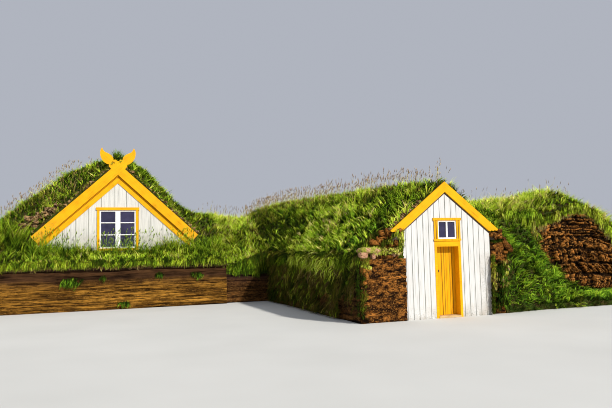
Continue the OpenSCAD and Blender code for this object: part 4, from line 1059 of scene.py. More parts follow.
def blades(name, line, width, side, tint, bright, tip_share=0.55):
    """line is (n, k, 3), the points of each blade from root to tip; tint and bright are the two
    coordinates in the chart."""
    n, k, _ = line.shape
    taper = np.linspace(1.0, tip_share, k - 1)
    half = (width[:, None] * taper)[:, :, None] * side[:, None, :] / 2
    points = np.concatenate([np.stack([line[:, :-1] - half, line[:, :-1] + half], 2).reshape(n, -1, 3),
                             line[:, -1:]], 1)
    per = 2 * (k - 1) + 1
    points[:, :, 2] = np.clip(points[:, :, 2], lowest, highest)
    base = (np.arange(n) * per)[:, None, None]
    quads = np.array([[2 * i, 2 * i + 1, 2 * i + 3, 2 * i + 2] for i in range(k - 2)])
    tip = np.array([[2 * (k - 2), 2 * (k - 2) + 1, per - 1]])
    faces = [(base + quads).reshape(-1, 4), (base + tip).reshape(-1, 3)]
    rise = np.concatenate([np.repeat(np.linspace(0, 1, k)[:-1], 2), [1.0]])
    uv = np.stack([np.repeat(tint, per), (rise[None] * bright[:, None]).ravel()], 1)
    in_chart = 0.002 + 0.996 * np.clip(uv, 0, 1)
    piece = new_piece(name, points.reshape(-1, 3), faces, grass_finish, uv=in_chart)
    made[name] = (n, triangles_of(piece))
    print(name, n, "blades,", made[name][1], "triangles")
    return piece


def unit(v):
    return v / np.maximum(np.linalg.norm(v, axis=1, keepdims=True), 1e-9)


# %% Growing tufts
def grow(name, p, normal, way, high, tint, bright, rng, in_tuft=6, wide=0.022, hang=0.2, loose=0.02):
    """Tufts at places p. way is the direction that each tuft grows in."""
    g = np.repeat(np.arange(len(p)), in_tuft)
    n = len(g)
    angle = rng.random(n) * 2 * np.pi
    spread = np.stack([np.cos(angle), np.sin(angle), np.zeros(n)], 1)
    far = rng.random(n)[:, None] ** 0.5
    up = normal[g]
    root = p[g] + spread * far * loose - 0.015 * up
    root[:, 2] -= ((spread * up).sum(1) * far[:, 0] * loose / np.maximum(up[:, 2], 0.35))
    length = (high[g] * (0.6 + 0.5 * rng.random(n)))[:, None]
    start = unit(way[g] + spread * far * 0.20 + 0.07 * rng.normal(size=(n, 3)))
    flat = unit(way[g] * [1, 1, 0] + 0.25 * spread)
    fall = (hang * (0.5 + rng.random(len(p))))[g][:, None] * (0.8 + 0.4 * rng.random((n, 1)))
    bend = unit(start + flat * (0.15 + fall) - [0, 0, 1.0] * fall * 1.2 + 0.12 * rng.normal(size=(n, 3)))
    line = np.stack([root, root + start * length * 0.5, root + (start * 0.5 + bend * 0.52) * length], 1)
    width = wide * (0.65 + 0.7 * rng.random(n))
    side = unit([1.0, 0, 0] + 0.6 * rng.normal(size=(n, 3)) * [1, 1, 0.2])
    blade_tint = np.clip(tint[g] + 0.05 * rng.normal(size=n), 0.01, 0.99)
    blade_bright = np.clip(bright[g] * (0.70 + 0.5 * rng.random(n)), 0.05, 2.4)
    return blades(name, line, width, side, blade_tint, blade_bright)


# %% Finding places on the turf
def turf_places(node, wanted, rng, share, steepest):
    """Random places on a node's faces that look up more than steepest, with their normals."""
    mesh = nodes[node].data
    mesh.calc_loop_triangles()
    co = np.zeros(len(mesh.vertices) * 3, np.float32)
    mesh.vertices.foreach_get("co", co)
    co = co.reshape(-1, 3).astype(float)
    tri = np.zeros(len(mesh.loop_triangles) * 3, np.int32)
    mesh.loop_triangles.foreach_get("vertices", tri)
    a, b, c = (co[tri.reshape(-1, 3)[:, i]] for i in range(3))
    normal = np.cross(b - a, c - a)
    area = np.linalg.norm(normal, axis=1) / 2
    normal = unit(normal)
    keep = normal[:, 2] > steepest
    a, b, c, normal, area = a[keep], b[keep], c[keep], normal[keep], area[keep]
    pick = rng.choice(len(area), int(area.sum() * wanted), p=area / area.sum())
    u, v = rng.random((2, len(pick)))
    flip = u + v > 1
    u, v = np.where(flip, 1 - u, u), np.where(flip, 1 - v, v)
    p = a[pick] + u[:, None] * (b - a)[pick] + v[:, None] * (c - a)[pick]
    kept = rng.random(len(p)) < share(p)
    return p[kept], normal[pick][kept]


def everywhere(p):
    return np.ones(len(p))


def sward(name, node, per_m2, tall, seed, share=everywhere, taller=everywhere, wide=0.018, lay=0.5,
          kinds=(0.46, 0.30), yellower=None, steepest=0.12, in_tuft=6, hang=0.2, lean=(0.08, -0.10), shade=None,
          contrast=1.0, light=1.0, clump=(0.10, 0.34, 0.12), gloom=0.36):
    """A cover of tufts. tall is (short, long) in metres, lay how far they lean down the slope,
    kinds the middle and the spread of their colour, and hang how far the tips droop."""
    rng = np.random.default_rng(seed)
    p, normal = turf_places(node, per_m2 / in_tuft, rng, share, steepest)
    t = len(p)
    slow = layered(p, 1.0, 3, seed)
    patch = layered(p + 50, 0.32, 2, seed + 1)
    small = noise(p + 20, clump, seed + 3)
    high = (tall[0] + (tall[1] - tall[0]) * np.clip(1.5 * slow - 0.35 + 0.7 * (patch - 0.4), 0, 1)) * taller(p)
    tint = kinds[0] + kinds[1] * (1.3 * (slow - 0.5) + 1.5 * (patch - 0.5)) + 0.10 * rng.normal(size=t) - 0.03
    if yellower is not None:
        tint = tint + yellower(p)
    # Brightness is partly each tuft's own tone and partly painted light: the gloom share is painted dark and
    # kept short, as tufts in the shade of others, and the brightest are painted light and taller, as tops in
    # the sun.
    bright = 0.58 + contrast * (1.35 * (small - 0.5) + 0.7 * (patch - 0.5)) + 0.08 * rng.normal(size=t)
    mood = rng.random(t)
    bright = light * (bright * np.where(mood < gloom, 0.25, 0.98) + np.where(mood > 0.76, 0.50, 0.0))
    tint = tint + np.where(mood > 0.74, 0.10, 0.0) - np.where(mood < gloom, 0.06, 0.0)
    high = high * (0.65 + 0.7 * small) * rng.uniform(0.8, 1.15, t)
    high = high * np.where(mood > 0.74, 1.28, np.where(mood < gloom, 0.80, 1.0))
    if shade is not None:
        bright = bright * shade(p)
    swirl = layered(p + 90, 0.8, 2, seed + 2)[:, None] - 0.5
    way = 0.45 * normal + [0, 0, 0.8] + lay * normal * [1, 1, 0] + [lean[0], lean[1], 0]
    way = unit(way + swirl * [1.0, 0.6, 0] + 0.46 * rng.normal(size=(t, 3)) * [1, 1, 0.3])
    return grow(name, p, normal, way, high, np.clip(tint, 0.03, 0.88), np.clip(bright, 0.06, 2.2), rng, in_tuft,
                wide, hang)


def strokes(name, node, per_m2, tall, seed, kinds, share=everywhere, light=1.0, hang=0.35, lean=(0.05, -0.15),
            wide=0.028, taller=everywhere):
    """Single long and broad blades, painted bright as a highlight, over a cover of tufts, in loose patches."""
    return sward(name, node, per_m2, tall, seed, lambda p: share(p) * ease(0.30, 0.62, noise(p, 0.5, seed)),
                 taller, wide, 0.15, kinds, in_tuft=3, hang=hang, lean=lean, contrast=0.6, light=2.2 * light,
                 gloom=0.0)


# %% [markdown]
# ### Where it grows
#
# The slopes that the photograph shows are dense, and towards the back the grass thins out. The
# bank under the window gable has the tallest grass, right up to the boards but lower before the
# window, and behind the door gable it is short. Near a ridge the grass is drier and yellower
# than on a bank, where the rain runs together.

# %% Grass on the left house and its bank
def thinner_behind(y, share):
    """Full density before y, falling to share of it behind."""
    return lambda p: 1 - (1 - share) * ease(y - 0.6, y + 0.8, p[:, 1])


def before_window(p):
    return ease(-6.9, -6.6, p[:, 0]) * ease(-5.0, -5.3, p[:, 0]) * ease(0.6, 0.9, p[:, 1])


def tall_by_gable(p):
    """Tall before the boards, taller still at both sides of the gable, lower before the window."""
    near = ease(0.6, 1.1, p[:, 1])
    sides = 1 + 0.9 * ease(-6.9, -8.0, p[:, 0]) * near + 0.6 * ease(-5.0, -3.8, p[:, 0]) * near
    return (1 + 0.9 * ease(0.75, 1.35, p[:, 1])) * sides * (1 - 0.45 * before_window(p))


def low_by_boards(p):
    return 1 - 0.55 * ease(1.9, 1.45, p[:, 1])


sward("grass_front_bank", "left_front_bank", 1850, (0.11, 0.23), 101, wide=0.022, lay=0.35, kinds=(0.44, 0.34),
      hang=0.06, lean=(0.02, -0.06), gloom=0.44, light=0.80, taller=tall_by_gable)
strokes("strokes_front_bank", "left_front_bank", 300, (0.16, 0.34), 111, (0.53, 0.26), light=0.85, hang=0.1,
        lean=(0.05, -0.08), wide=0.024, taller=lambda p: 1 - 0.45 * before_window(p))
sward("grass_left_slope", "left_turf_left", 850, (0.11, 0.27), 102, thinner_behind(4.0, 0.45), wide=0.021,
      kinds=(0.42, 0.34), taller=low_by_boards)
sward("grass_right_slope", "left_turf_right", 780, (0.11, 0.26), 103, thinner_behind(4.0, 0.45), wide=0.021,
      kinds=(0.44, 0.32), taller=low_by_boards)
strokes("strokes_left_slope", "left_turf_left", 130, (0.20, 0.38), 112, (0.50, 0.26), thinner_behind(4.0, 0.5))
strokes("strokes_right_slope", "left_turf_right", 110, (0.18, 0.34), 113, (0.46, 0.24),
        thinner_behind(4.0, 0.5))

# %% [markdown]
# ### The saddle
#
# Between the houses the grass is thick, even and yellow-green, and it is darker where the door
# house shades it. Behind the horns of the left gable a dark tuft stands up on the ridge.

# %% Grass on the saddle, and the tuft behind the horns
def saddle_light(p):
    return 1 - 0.45 * ease(-2.1, -1.2, p[:, 0]) * ease(2.7, 2.0, p[:, 2])


sward("grass_saddle", "saddle_turf", 1100, (0.15, 0.34), 104, wide=0.021, kinds=(0.58, 0.20), hang=0.15,
      lean=(0.10, -0.15), light=1.6, gloom=0.26, shade=saddle_light)
strokes("strokes_saddle", "saddle_turf", 280, (0.22, 0.42), 114, (0.52, 0.20), light=0.98, hang=0.2)
rng = np.random.default_rng(290)
many, ridge_x, ridge_z = 110, -5.95, 5.06
peak = np.stack([rng.normal(-6.02, 0.20, many), rng.uniform(1.45, 2.3, many), np.zeros(many)], 1)
peak[:, 2] = ridge_z - 0.75 * np.abs(peak[:, 0] - ridge_x)
upwards = np.repeat([[0.0, 0, 1]], many, 0)
grow("tuft_behind_horns", peak, upwards, unit(upwards + 0.2 * rng.normal(size=(many, 3))),
     rng.uniform(0.20, 0.44, many), rng.normal(0.34, 0.10, many), rng.uniform(0.3, 1.0, many), rng, 4, 0.020,
     0.1)

# %% [markdown]
# ### The door house
#
# Its left slope is the largest stretch of grass. It is painted dark in the corner by the saddle,
# as shade, and short behind the bargeboard, and on the low brow over the flank long blades are
# painted bright, as catching the sun.

# %% Grass on the door house
near_gable_dense = thinner_behind(3.0, 0.48)


def dry_ridge(p):
    return 0.20 * ease(2.5, 3.4, p[:, 2]) * (noise(p, 0.9, 300) - 0.25)


def brow_light(p):
    """Painted shade in the corner by the saddle and a painted highlight on the brow over the flank, under broad
    patches of painted light and shade.
    """
    corner = ease(-2.6, -0.6, p[:, 1]) * ease(0.6, -0.5, p[:, 0])
    brow = ease(-1.8, -3.2, p[:, 1]) * ease(0.5, -0.4, p[:, 0])
    return (1 - 0.55 * corner + 0.35 * brow) * (0.70 + 0.6 * layered(p + 7, 1.3, 2, 320))


def low_by_bargeboard(p):
    return 1 - 0.6 * ease(-6.3, -6.9, p[:, 1]) * ease(1.9, 2.3, p[:, 2])


sward("grass_door_left", "door_turf_left", 1020, (0.11, 0.28), 105, near_gable_dense, wide=0.021,
      kinds=(0.36, 0.32), lay=0.15, shade=brow_light, hang=0.2, yellower=dry_ridge, taller=low_by_bargeboard,
      contrast=1.5, light=0.95, gloom=0.42, lean=(0.15, -0.12))


def low_brow(p):
    """1 on the low left edge over the flank, little on the rest of the slope."""
    edge = 0.25 + 0.75 * ease(0.7, 0.0, p[:, 0]) * ease(-0.5, -3.0, p[:, 1])
    return edge * (1 - 0.3 * ease(0.5, 2.0, p[:, 1]))


strokes("strokes_door_left", "door_turf_left", 420, (0.18, 0.36), 115, (0.50, 0.28), low_brow, light=1.0,
        hang=0.4, lean=(0.12, -0.15))
strokes("strokes_low_brow", "door_turf_left", 230, (0.20, 0.38), 116, (0.66, 0.14),
        lambda p: ease(0.45, 0.75, low_brow(p)), light=1.15, hang=0.5, lean=(-0.12, -0.30))
sward("grass_door_right", "door_turf_right", 540, (0.14, 0.30), 106, near_gable_dense, wide=0.028,
      kinds=(0.42, 0.28), lay=0.6, yellower=dry_ridge)

# %% [markdown]
# ### The wing and its bank
#
# The wing's roof is even and bright, and long blades lean with the slope. The bank before it is
# darker and more ragged. By the wall of slanted blocks its grass is short, so the blocks show.

# %% Grass on the wing and its bank
def low_by_wall(p):
    return 1 - 0.72 * ease(-5.6, -4.6, p[:, 1]) * ease(6.0, 7.0, p[:, 0])


sward("grass_wing", "wing_turf", 1020, (0.15, 0.34), 107, thinner_behind(-2.0, 0.45), wide=0.021,
      kinds=(0.56, 0.20), hang=0.2, lean=(0.25, -0.2), light=1.5, gloom=0.28)
strokes("strokes_wing", "wing_turf", 260, (0.24, 0.48), 117, (0.60, 0.18), thinner_behind(-1.9, 0.3), light=1.1,
        lean=(0.30, -0.3))
sward("grass_right_bank", "right_bank", 800, (0.15, 0.36), 108, lambda p: np.where(p[:, 0] < 8.4, 1.0, 0.7),
      wide=0.022, kinds=(0.30, 0.34), lay=0.35, hang=0.5, steepest=-0.2, lean=(-0.05, -0.25), contrast=2.4,
      light=0.74, gloom=0.48, clump=(0.24, 0.5, 0.24), taller=low_by_wall)
strokes("strokes_right_bank", "right_bank", 360, (0.20, 0.40), 118, (0.30, 0.24), lambda p: p[:, 0] < 9.8,
        light=1.75, lean=(-0.05, -0.3), wide=0.030, hang=0.6, taller=low_by_wall)

# %% [markdown]
# ### Where it hangs over
#
# Along every lip the grass bends out and falls over the wall, and that hides the hard edge
# between turf and wall. Short straws and roots hang from the cut edge itself. A fringe is grown
# along a path of a few points, with one direction to hang out in.

# %% Growing a hanging fringe
def hanging(name, root, out, length, tint, bright, rng, in_tuft=6, wide=0.019, stand=0.35, sway=0.12,
            loose=0.022, lift=0.0, far=0.10):
    """Tufts that start at root, reach outwards and fall. out is their direction, one for all or
    one each, stand says how far they stand off, at most far, and lift how much they rise before
    they fall."""
    out = np.broadcast_to(np.asarray(out, float), root.shape)
    g = np.repeat(np.arange(len(root)), in_tuft)
    n = len(g)
    along = unit(np.cross(out, [0.0, 0, 1.0]))[g]
    start = root[g] + along * rng.normal(0, loose, (n, 1)) + rng.normal(0, 0.012, (n, 3))
    reach = (length[g] * (0.55 + 0.6 * rng.random(n)))[:, None]
    off = np.minimum(reach * stand, far) * (0.5 + rng.random((n, 1))) * (1 + lift)
    drift = along * (rng.normal(0, sway, (len(root), 1))[g] + rng.normal(0, 0.5 * sway, (n, 1)) + 0.12)
    knee = start + out[g] * off + (drift + [0, 0, 2.2 * lift - 1.0]) * reach * 0.42
    end = knee + (out[g] * (0.04 + 0.35 * lift) - [0, 0, 1.0] + drift * 1.6) * reach * 0.58
    side = unit(along + 0.5 * rng.normal(size=(n, 3)))
    # Some tufts are painted dim, as shade, and some get a painted highlight.
    mood = rng.random(len(root))
    lit = np.where(mood > 0.78, 0.30 * bright.mean() / 0.5, 0.0)
    glow = (bright * np.where(mood < 0.32, 0.30, 0.9) + lit)[g]
    return blades(name, np.stack([start, knee, end], 1), wide * (0.65 + 0.7 * rng.random(n)), side,
                  np.clip(tint[g] + 0.05 * rng.normal(size=n), 0.01, 0.99),
                  np.clip(glow * (0.7 + 0.6 * rng.random(n)), 0.05, 2.2))


def fringe(name, path, out, per_m, reach, seed, kinds=(0.5, 0.25), light=(0.45, 1.0), back=0.10, wide=0.019,
           stand=0.35, up=0.05, lift=0.0, shade=None, sway=0.12, far=0.10):
    """A fringe along a path; reach is (short, long), or a function that gives both at a place."""
    rng = np.random.default_rng(seed)
    path, out = np.array(path, float), np.array(out, float)
    steps = np.concatenate([[0], np.cumsum(np.linalg.norm(np.diff(path, axis=0), axis=1))])
    t = int(steps[-1] * per_m)
    at = rng.random(t) * steps[-1]
    p = np.stack([np.interp(at, steps, path[:, i]) for i in range(3)], 1)
    inward = rng.random((t, 1)) * back
    outs = unit(np.repeat(out[None], t, 0) + 0.15 * rng.normal(size=(t, 3)) * [1, 1, 0])
    root = p - outs * inward + [0, 0, 1.0] * (inward * 0.5 + rng.random((t, 1)) * up)
    slow, patch = layered(p, 0.9, 2, seed), noise(p, [0.09, 0.09, 0.5], seed + 1)
    short, long = reach(p) if callable(reach) else reach
    share = np.clip(0.9 * slow + 0.9 * patch - 0.45 + 0.3 * (rng.random(t) - 0.5), 0, 1)
    length = short + (long - short) * share
    tint = np.clip(kinds[0] + kinds[1] * (slow + patch - 1) * 1.4 + 0.06 * rng.normal(size=t), 0.02, 0.97)
    share = np.clip(0.45 + 1.7 * (patch - 0.5) + 0.3 * rng.normal(size=t), 0, 1.2)
    bright = light[0] + (light[1] - light[0]) * share
    if shade is not None:
        bright = bright * shade(p)
    return hanging(name, root, outs, length, tint, bright, rng, wide=wide, stand=stand, lift=lift, sway=sway,
                   far=far)


# %% [markdown]
# ### The left house's fringes
#
# The brow over the front wall has three layers: long grass that arches over, shorter grass from
# the cut edge, and dry straw.

# %% Fringes on the left house
fringe("fringe_front_brow", [(-10.5, 0.27, 1.46), (-2.5, 0.27, 1.46)], forwards, 140, (0.20, 0.42), 200,
       kinds=(0.46, 0.30), back=0.20, up=0.05, light=(0.20, 0.88), lift=0.45, stand=0.5)
fringe("fringe_front_bank", [(-10.5, 0.215, 1.38), (-2.5, 0.215, 1.38)], forwards, 95, (0.06, 0.26), 201,
       kinds=(0.46, 0.28), back=0.02, up=0.12, light=(0.12, 0.7), lift=0.3)
fringe("fringe_front_straw", [(-10.5, 0.22, 1.37), (-2.5, 0.22, 1.37)], forwards, 45, (0.05, 0.20), 202,
       kinds=(0.86, 0.10), light=(0.35, 0.85), back=0.01, up=0.05, wide=0.013)

# %% [markdown]
# ### The saddle's and the rakes' fringes
#
# Under the saddle three rows of hanging grass cover the bank one above the other. Along the
# bargeboards only a few short blades look over.

# %% Fringes on the saddle and on the rakes
def saddle_reach(p):
    far = ease(-2.5, -1.95, p[:, 0])
    return 0.03 + 0.09 * far, 0.12 + 0.26 * far


# Painted shade towards the corner by the door house.
def dark_corner(p):
    return 1.0 - 0.6 * ease(-2.0, -1.1, p[:, 0])


for row, (low_z, high_z) in enumerate([(1.06, 1.05), (1.12, 1.35), (1.16, 1.62)]):
    fringe(f"fringe_saddle_{row}", [(-2.5, 0.40, low_z), (-0.9, 0.40, high_z)], forwards, 90, saddle_reach,
           220 + row, kinds=(0.42, 0.30), back=0.05, up=0.14, shade=dark_corner)
fringe("fringe_inner_corner", [(-2.50, 0.25, 1.3), (-2.50, 1.2, 1.5)], rightwards, 70, (0.15, 0.5), 204,
       kinds=(0.48, 0.25), back=0.2)
fringe("fringe_left_eave", [(-10.5, 1.55, 2.15), (-8.65, 1.55, 2.55)], forwards, 120, (0.2, 0.5), 230,
       kinds=(0.46, 0.3), back=0.02, up=0.16, lift=0.3)
fringe("fringe_left_rake", [(-8.60, 1.37, 2.52), (-5.95, 1.37, 4.93)], forwards, 26, (0.05, 0.18), 231,
       kinds=(0.56, 0.34), back=0.06, up=0.12, stand=0.2, lift=0.4, light=(0.2, 0.8))
fringe("fringe_right_rake", [(-5.95, 1.37, 4.93), (-3.3, 1.37, 2.52)], forwards, 30, (0.05, 0.18), 232,
       kinds=(0.52, 0.34), back=0.06, up=0.12, stand=0.2, lift=0.4, light=(0.2, 0.8))

# %% [markdown]
# ### The curtain
#
# The side of the door house, which gets no sun, has vanished behind a curtain of old grass that
# is painted dark, as shade, and darkest towards the corner. Its tufts are strewn over the whole
# wall, and single blades painted bright, a painted highlight, hang over it from the brow.

# %% The curtain on the side of the door house
def brow_reach(p):
    near = ease(-2.6, -4.4, p[:, 1]) * (0.2 + 1.6 * noise(p, 0.7, 243))
    return 0.12 + 0.18 * near, 0.34 + 0.48 * near


fringe("fringe_flank_lip", [(-0.93, 0.3, 1.46), (-0.93, -6.75, 1.46)], leftwards, 110, (0.15, 0.70), 205,
       kinds=(0.44, 0.36), light=(0.10, 0.75), back=0.12, wide=0.021, stand=0.6, up=0.17, lift=0.2, sway=0.4,
       shade=lambda p: 1 - 0.7 * ease(-2.0, -0.3, p[:, 1]))
fringe("fringe_flank_brow", [(-0.90, 0.3, 1.60), (-0.90, -6.65, 1.60)], leftwards, 100, brow_reach, 242,
       kinds=(0.55, 0.30), light=(0.12, 1.9), back=0.35, wide=0.022, stand=0.6, up=0.10, lift=0.2, sway=0.28,
       far=0.12, shade=lambda p: 1 - 0.8 * ease(-3.4, -1.2, p[:, 1]))
rng = np.random.default_rng(246)
many = 360
brow_y = rng.uniform(-6.55, -2.4, many)
brow_z = 1.62 - rng.random(many) ** 1.6 * (0.10 + 0.34 * ease(-2.4, -5.5, brow_y))
brow_root = np.stack([np.full(many, -0.96), brow_y, brow_z], 1)
brow_root = brow_root[noise(brow_root, 0.45, 247) > 0.38]
t = len(brow_root)
# Painted bright: a highlight on blades that hang in the shade of the brow.
hanging("strokes_flank_brow", brow_root, (-1.0, -0.3, 0), rng.uniform(0.14, 0.36, t), rng.normal(0.62, 0.09, t),
        rng.uniform(0.7, 2.4, t), rng, in_tuft=3, wide=0.026, stand=0.5, sway=0.35, far=0.14)
rng = np.random.default_rng(206)
many = 1500
curtain_y, curtain_z = rng.uniform(-6.9, 0.2, many), rng.uniform(0.12, 1.40, many) ** 0.9
curtain_root = np.stack([-0.955 - 0.045 * (1.43 - curtain_z), curtain_y, curtain_z], 1)
curtain_root = curtain_root[noise(curtain_root, [1, 0.8, 0.5], 207) > 0.24]
t = len(curtain_root)
length = rng.uniform(0.12, 0.34, t)
tint = np.clip(0.66 + 0.7 * (noise(curtain_root, 0.4, 208) - 0.5) + 0.16 * rng.normal(size=t), 0.05, 0.93)
# Most tufts are painted dim, as shade, a few bright, and all darker towards the corner.
dim = np.clip(0.05 + 0.32 * (noise(curtain_root, 0.2, 209) - 0.35), 0.03, 0.5)
bright = np.where(rng.random(t) < 0.15, 1.0, dim) * (1 - 0.6 * ease(-1.5, -0.2, curtain_root[:, 1]))
hanging("curtain_flank", curtain_root, leftwards, length, tint, bright, rng, wide=0.021, stand=0.3, sway=0.4)

# %% [markdown]
# ### Tufts in the front wall
#
# Here and there a plant has taken root in a joint between the strips and hangs there as a small
# green tuft. They are few, so each is listed one by one.

# %% Tufts that root in the front wall
def wall_tuft(name, x, z, spread_x, spread_z, count, long, seed):
    """A tuft that has rooted in the face of the front wall."""
    rng = np.random.default_rng(seed)
    root = np.stack([rng.normal(x, spread_x, count), np.full(count, 0.185), rng.normal(z, spread_z, count)], 1)
    return hanging(name, root, forwards, rng.uniform(0.5, 1.0, count) * long,
                   np.clip(rng.normal(0.28, 0.12, count), 0.03, 0.7), rng.uniform(0.4, 1.0, count), rng,
                   stand=0.5)


# Each tuft: x, z, its spread along and up the wall, how many shoots, and how long they are
wall_tufts = [(-7.37, 0.96, 0.14, 0.04, 60, 0.26), (-4.70, 1.08, 0.06, 0.03, 14, 0.2),
              (-3.49, 1.04, 0.09, 0.03, 22, 0.2), (-5.79, 0.22, 0.10, 0.04, 20, 0.22),
              (-6.45, 1.02, 0.05, 0.03, 8, 0.15)]
for i, tuft in enumerate(wall_tufts):
    wall_tuft(f"wall_tuft_{i}", *tuft, 240 + i)

# %% [markdown]
# ### Verges
#
# Where the turf ends on the sides that the picture doesn't show, a thin fringe is enough. Its
# path is measured from the node's own edge, so it follows every slope.

# %% Verges on the ends and the back
def verge(name, node, axis, value, span, out, seed, skip=0.22):
    """A thin fringe on the edge of a turf node, on a side that the picture doesn't show."""
    line = edge_heights(node, axis, value, 1 - axis)
    places = np.linspace(span[0], span[1], 30)
    path = np.zeros((len(places), 3))
    path[:, axis], path[:, 1 - axis], path[:, 2] = value, places, line(places) - skip
    path += np.array(out) * -0.01
    return fringe(name, path, out, 45, (0.12, 0.36), seed, kinds=(0.42, 0.3), back=0.03, up=skip + 0.02,
                  wide=0.03)


verges = [
    ("left_end", "left_turf_left", 0, -10.5, (1.57, 7.0), leftwards),
    ("bank_end", "left_front_bank", 0, -10.5, (0.25, 1.57), leftwards, 0.15),
    ("left_back", "left_turf_left", 1, 7.0, (-10.5, -5.95), backwards),
    ("left_back_right", "left_turf_right", 1, 7.0, (-5.95, -2.5), backwards),
    ("saddle_back", "saddle_turf", 1, 7.0, (-2.5, -0.9), backwards),
    ("door_back_left", "door_turf_left", 1, 7.0, (-0.9, 1.51), backwards),
    ("door_back_right", "door_turf_right", 1, 7.0, (1.51, 3.81), backwards),
    ("door_right", "door_turf_right", 0, 3.81, (-0.9, 7.0), rightwards),
    ("wing_back", "wing_turf", 1, -0.9, (3.81, 10.5), backwards),
    ("wing_end", "wing_turf", 0, 10.5, (-4.0, -0.9), rightwards)]
for seed, (side, node, axis, value, span, out, *skip) in enumerate(verges, 250):
    verge("verge_" + side, node, axis, value, span, out, seed, *skip)

# %% [markdown]
# ### Green on the piers
#
# The piers are nearest to the camera, so each patch is given one by one: moss round the stones,
# straw in the hollow behind the bargeboard, and green shoots over the right pier from its foot up.

# %% Fringes on the piers
fringe("fringe_left_pier", [(-0.93, -6.6, 1.50), (-0.93, -6.98, 1.50), (-0.70, -7.01, 1.50)], (-0.5, -0.8, 0),
       90, (0.08, 0.28), 210, kinds=(0.50, 0.34), back=0.1, light=(0.2, 0.9))
fringe("fringe_door_front", [(-0.95, -6.57, 1.55), (-0.05, -6.57, 2.15)], forwards, 170, (0.12, 0.45), 233,
       kinds=(0.46, 0.32), back=0.05, up=0.12, light=(0.3, 1.0), stand=0.5)
fringe("straw_niche", [(-0.34, -6.84, 1.72), (0.00, -6.92, 1.90), (0.18, -6.96, 2.16)], (-0.1, -1, 0), 100,
       (0.08, 0.34), 234, kinds=(0.64, 0.34), back=0.12, up=0.12, light=(0.15, 0.85), lift=0.3)
fringe("straw_by_boards", [(0.22, -6.99, 1.50), (0.27, -6.99, 2.18)], (-0.2, -1, 0), 150, (0.10, 0.26), 239,
       kinds=(0.62, 0.28), back=0.02, up=0.05, light=(0.2, 0.9), lift=0.2, stand=0.1)
fringe("moss_on_pier", [(-0.52, -6.97, 1.62), (-0.30, -6.98, 1.60), (0.02, -6.98, 1.62), (0.26, -6.99, 1.60)],
       forwards, 280, (0.05, 0.18), 235, kinds=(0.75, 0.10), back=0.22, up=0.12, light=(0.85, 1.9), wide=0.017,
       lift=0.4)
fringe("moss_under_stone", [(-0.86, -7.0, 1.34), (-0.60, -7.0, 1.28)], forwards, 130, (0.05, 0.14), 236,
       kinds=(0.66, 0.10), back=0.02, up=0.06, light=(0.5, 1.0), wide=0.014, lift=0.4)
for i, (pier_x, per_m) in enumerate([(-0.97, 50), (-0.86, 30), (-0.78, 16)]):
    side_path = [(pier_x, -7.01, 0.12), (pier_x + 0.02, -7.01, 1.40)]
    fringe(f"fringe_pier_side_{i}", side_path, (-0.3, -1, 0), per_m, (0.04, 0.17), 241 + 3 * i,
           kinds=(0.50, 0.45), back=0.0, up=0.03, light=(0.05, 0.42), stand=0.3, lift=0.2)
fringe("fringe_right_pier", [(3.36, -6.84, 1.62), (3.48, -6.72, 1.66), (3.62, -6.5, 1.72)], (0.1, -1, 0), 120,
       (0.20, 0.60), 211, kinds=(0.26, 0.30), back=0.15, stand=0.5, light=(0.10, 0.60))
fringe("weeds_right_pier", [(2.86, -6.87, 0.12), (3.05, -6.88, 0.15), (3.36, -6.87, 0.2)], forwards, 330,
       (0.12, 0.36), 212, kinds=(0.32, 0.40), light=(0.08, 1.0), back=0.03, stand=0.7, up=1.15, lift=0.5)
fringe("weeds_by_boards", [(2.77, -7.01, 0.06), (2.80, -7.01, 0.7), (2.85, -6.99, 1.50)], (0.2, -1, 0), 110,
       (0.05, 0.22), 260, kinds=(0.52, 0.45), light=(0.08, 0.75), back=0.0, stand=0.3, up=0.05, lift=0.4)
fringe("withered_right_pier", [(2.86, -6.87, 0.60), (3.34, -6.87, 0.65)], forwards, 60,
       (0.06, 0.20), 238, kinds=(0.80, 0.14), light=(0.30, 0.95), back=0.03, wide=0.022, stand=0.8, up=0.75,
       lift=0.6)
fringe("moss_right_pier", [(2.92, -6.88, 1.84), (3.24, -6.88, 1.86)], forwards, 170, (0.05, 0.16), 237,
       kinds=(0.36, 0.2), light=(0.20, 0.65), back=0.05, up=0.06, lift=0.5)

# %% [markdown]
# ### The wing's fringes
#
# The fringe over the slanted blocks is short over their crown and long at both sides, which a
# small table along X says. To the left of the blocks the grass falls like a curtain.

# %% Fringes on the wing
wing_path = [(x, -4.03, float(wing_line(x)) + 0.02) for x in np.linspace(5.3, 10.5, 60)]


def wing_reach(p):
    long = np.interp(p[:, 0], [5.3, 6.2, 6.7, 7.1, 7.6, 8.0, 8.4, 8.9, 9.4, 9.8, 10.1, 10.5],
                     [0.95, 0.85, 0.62, 0.38, 0.20, 0.26, 0.36, 0.32, 0.32, 0.44, 0.56, 0.60])
    return 0.45 * long, 1.2 * long


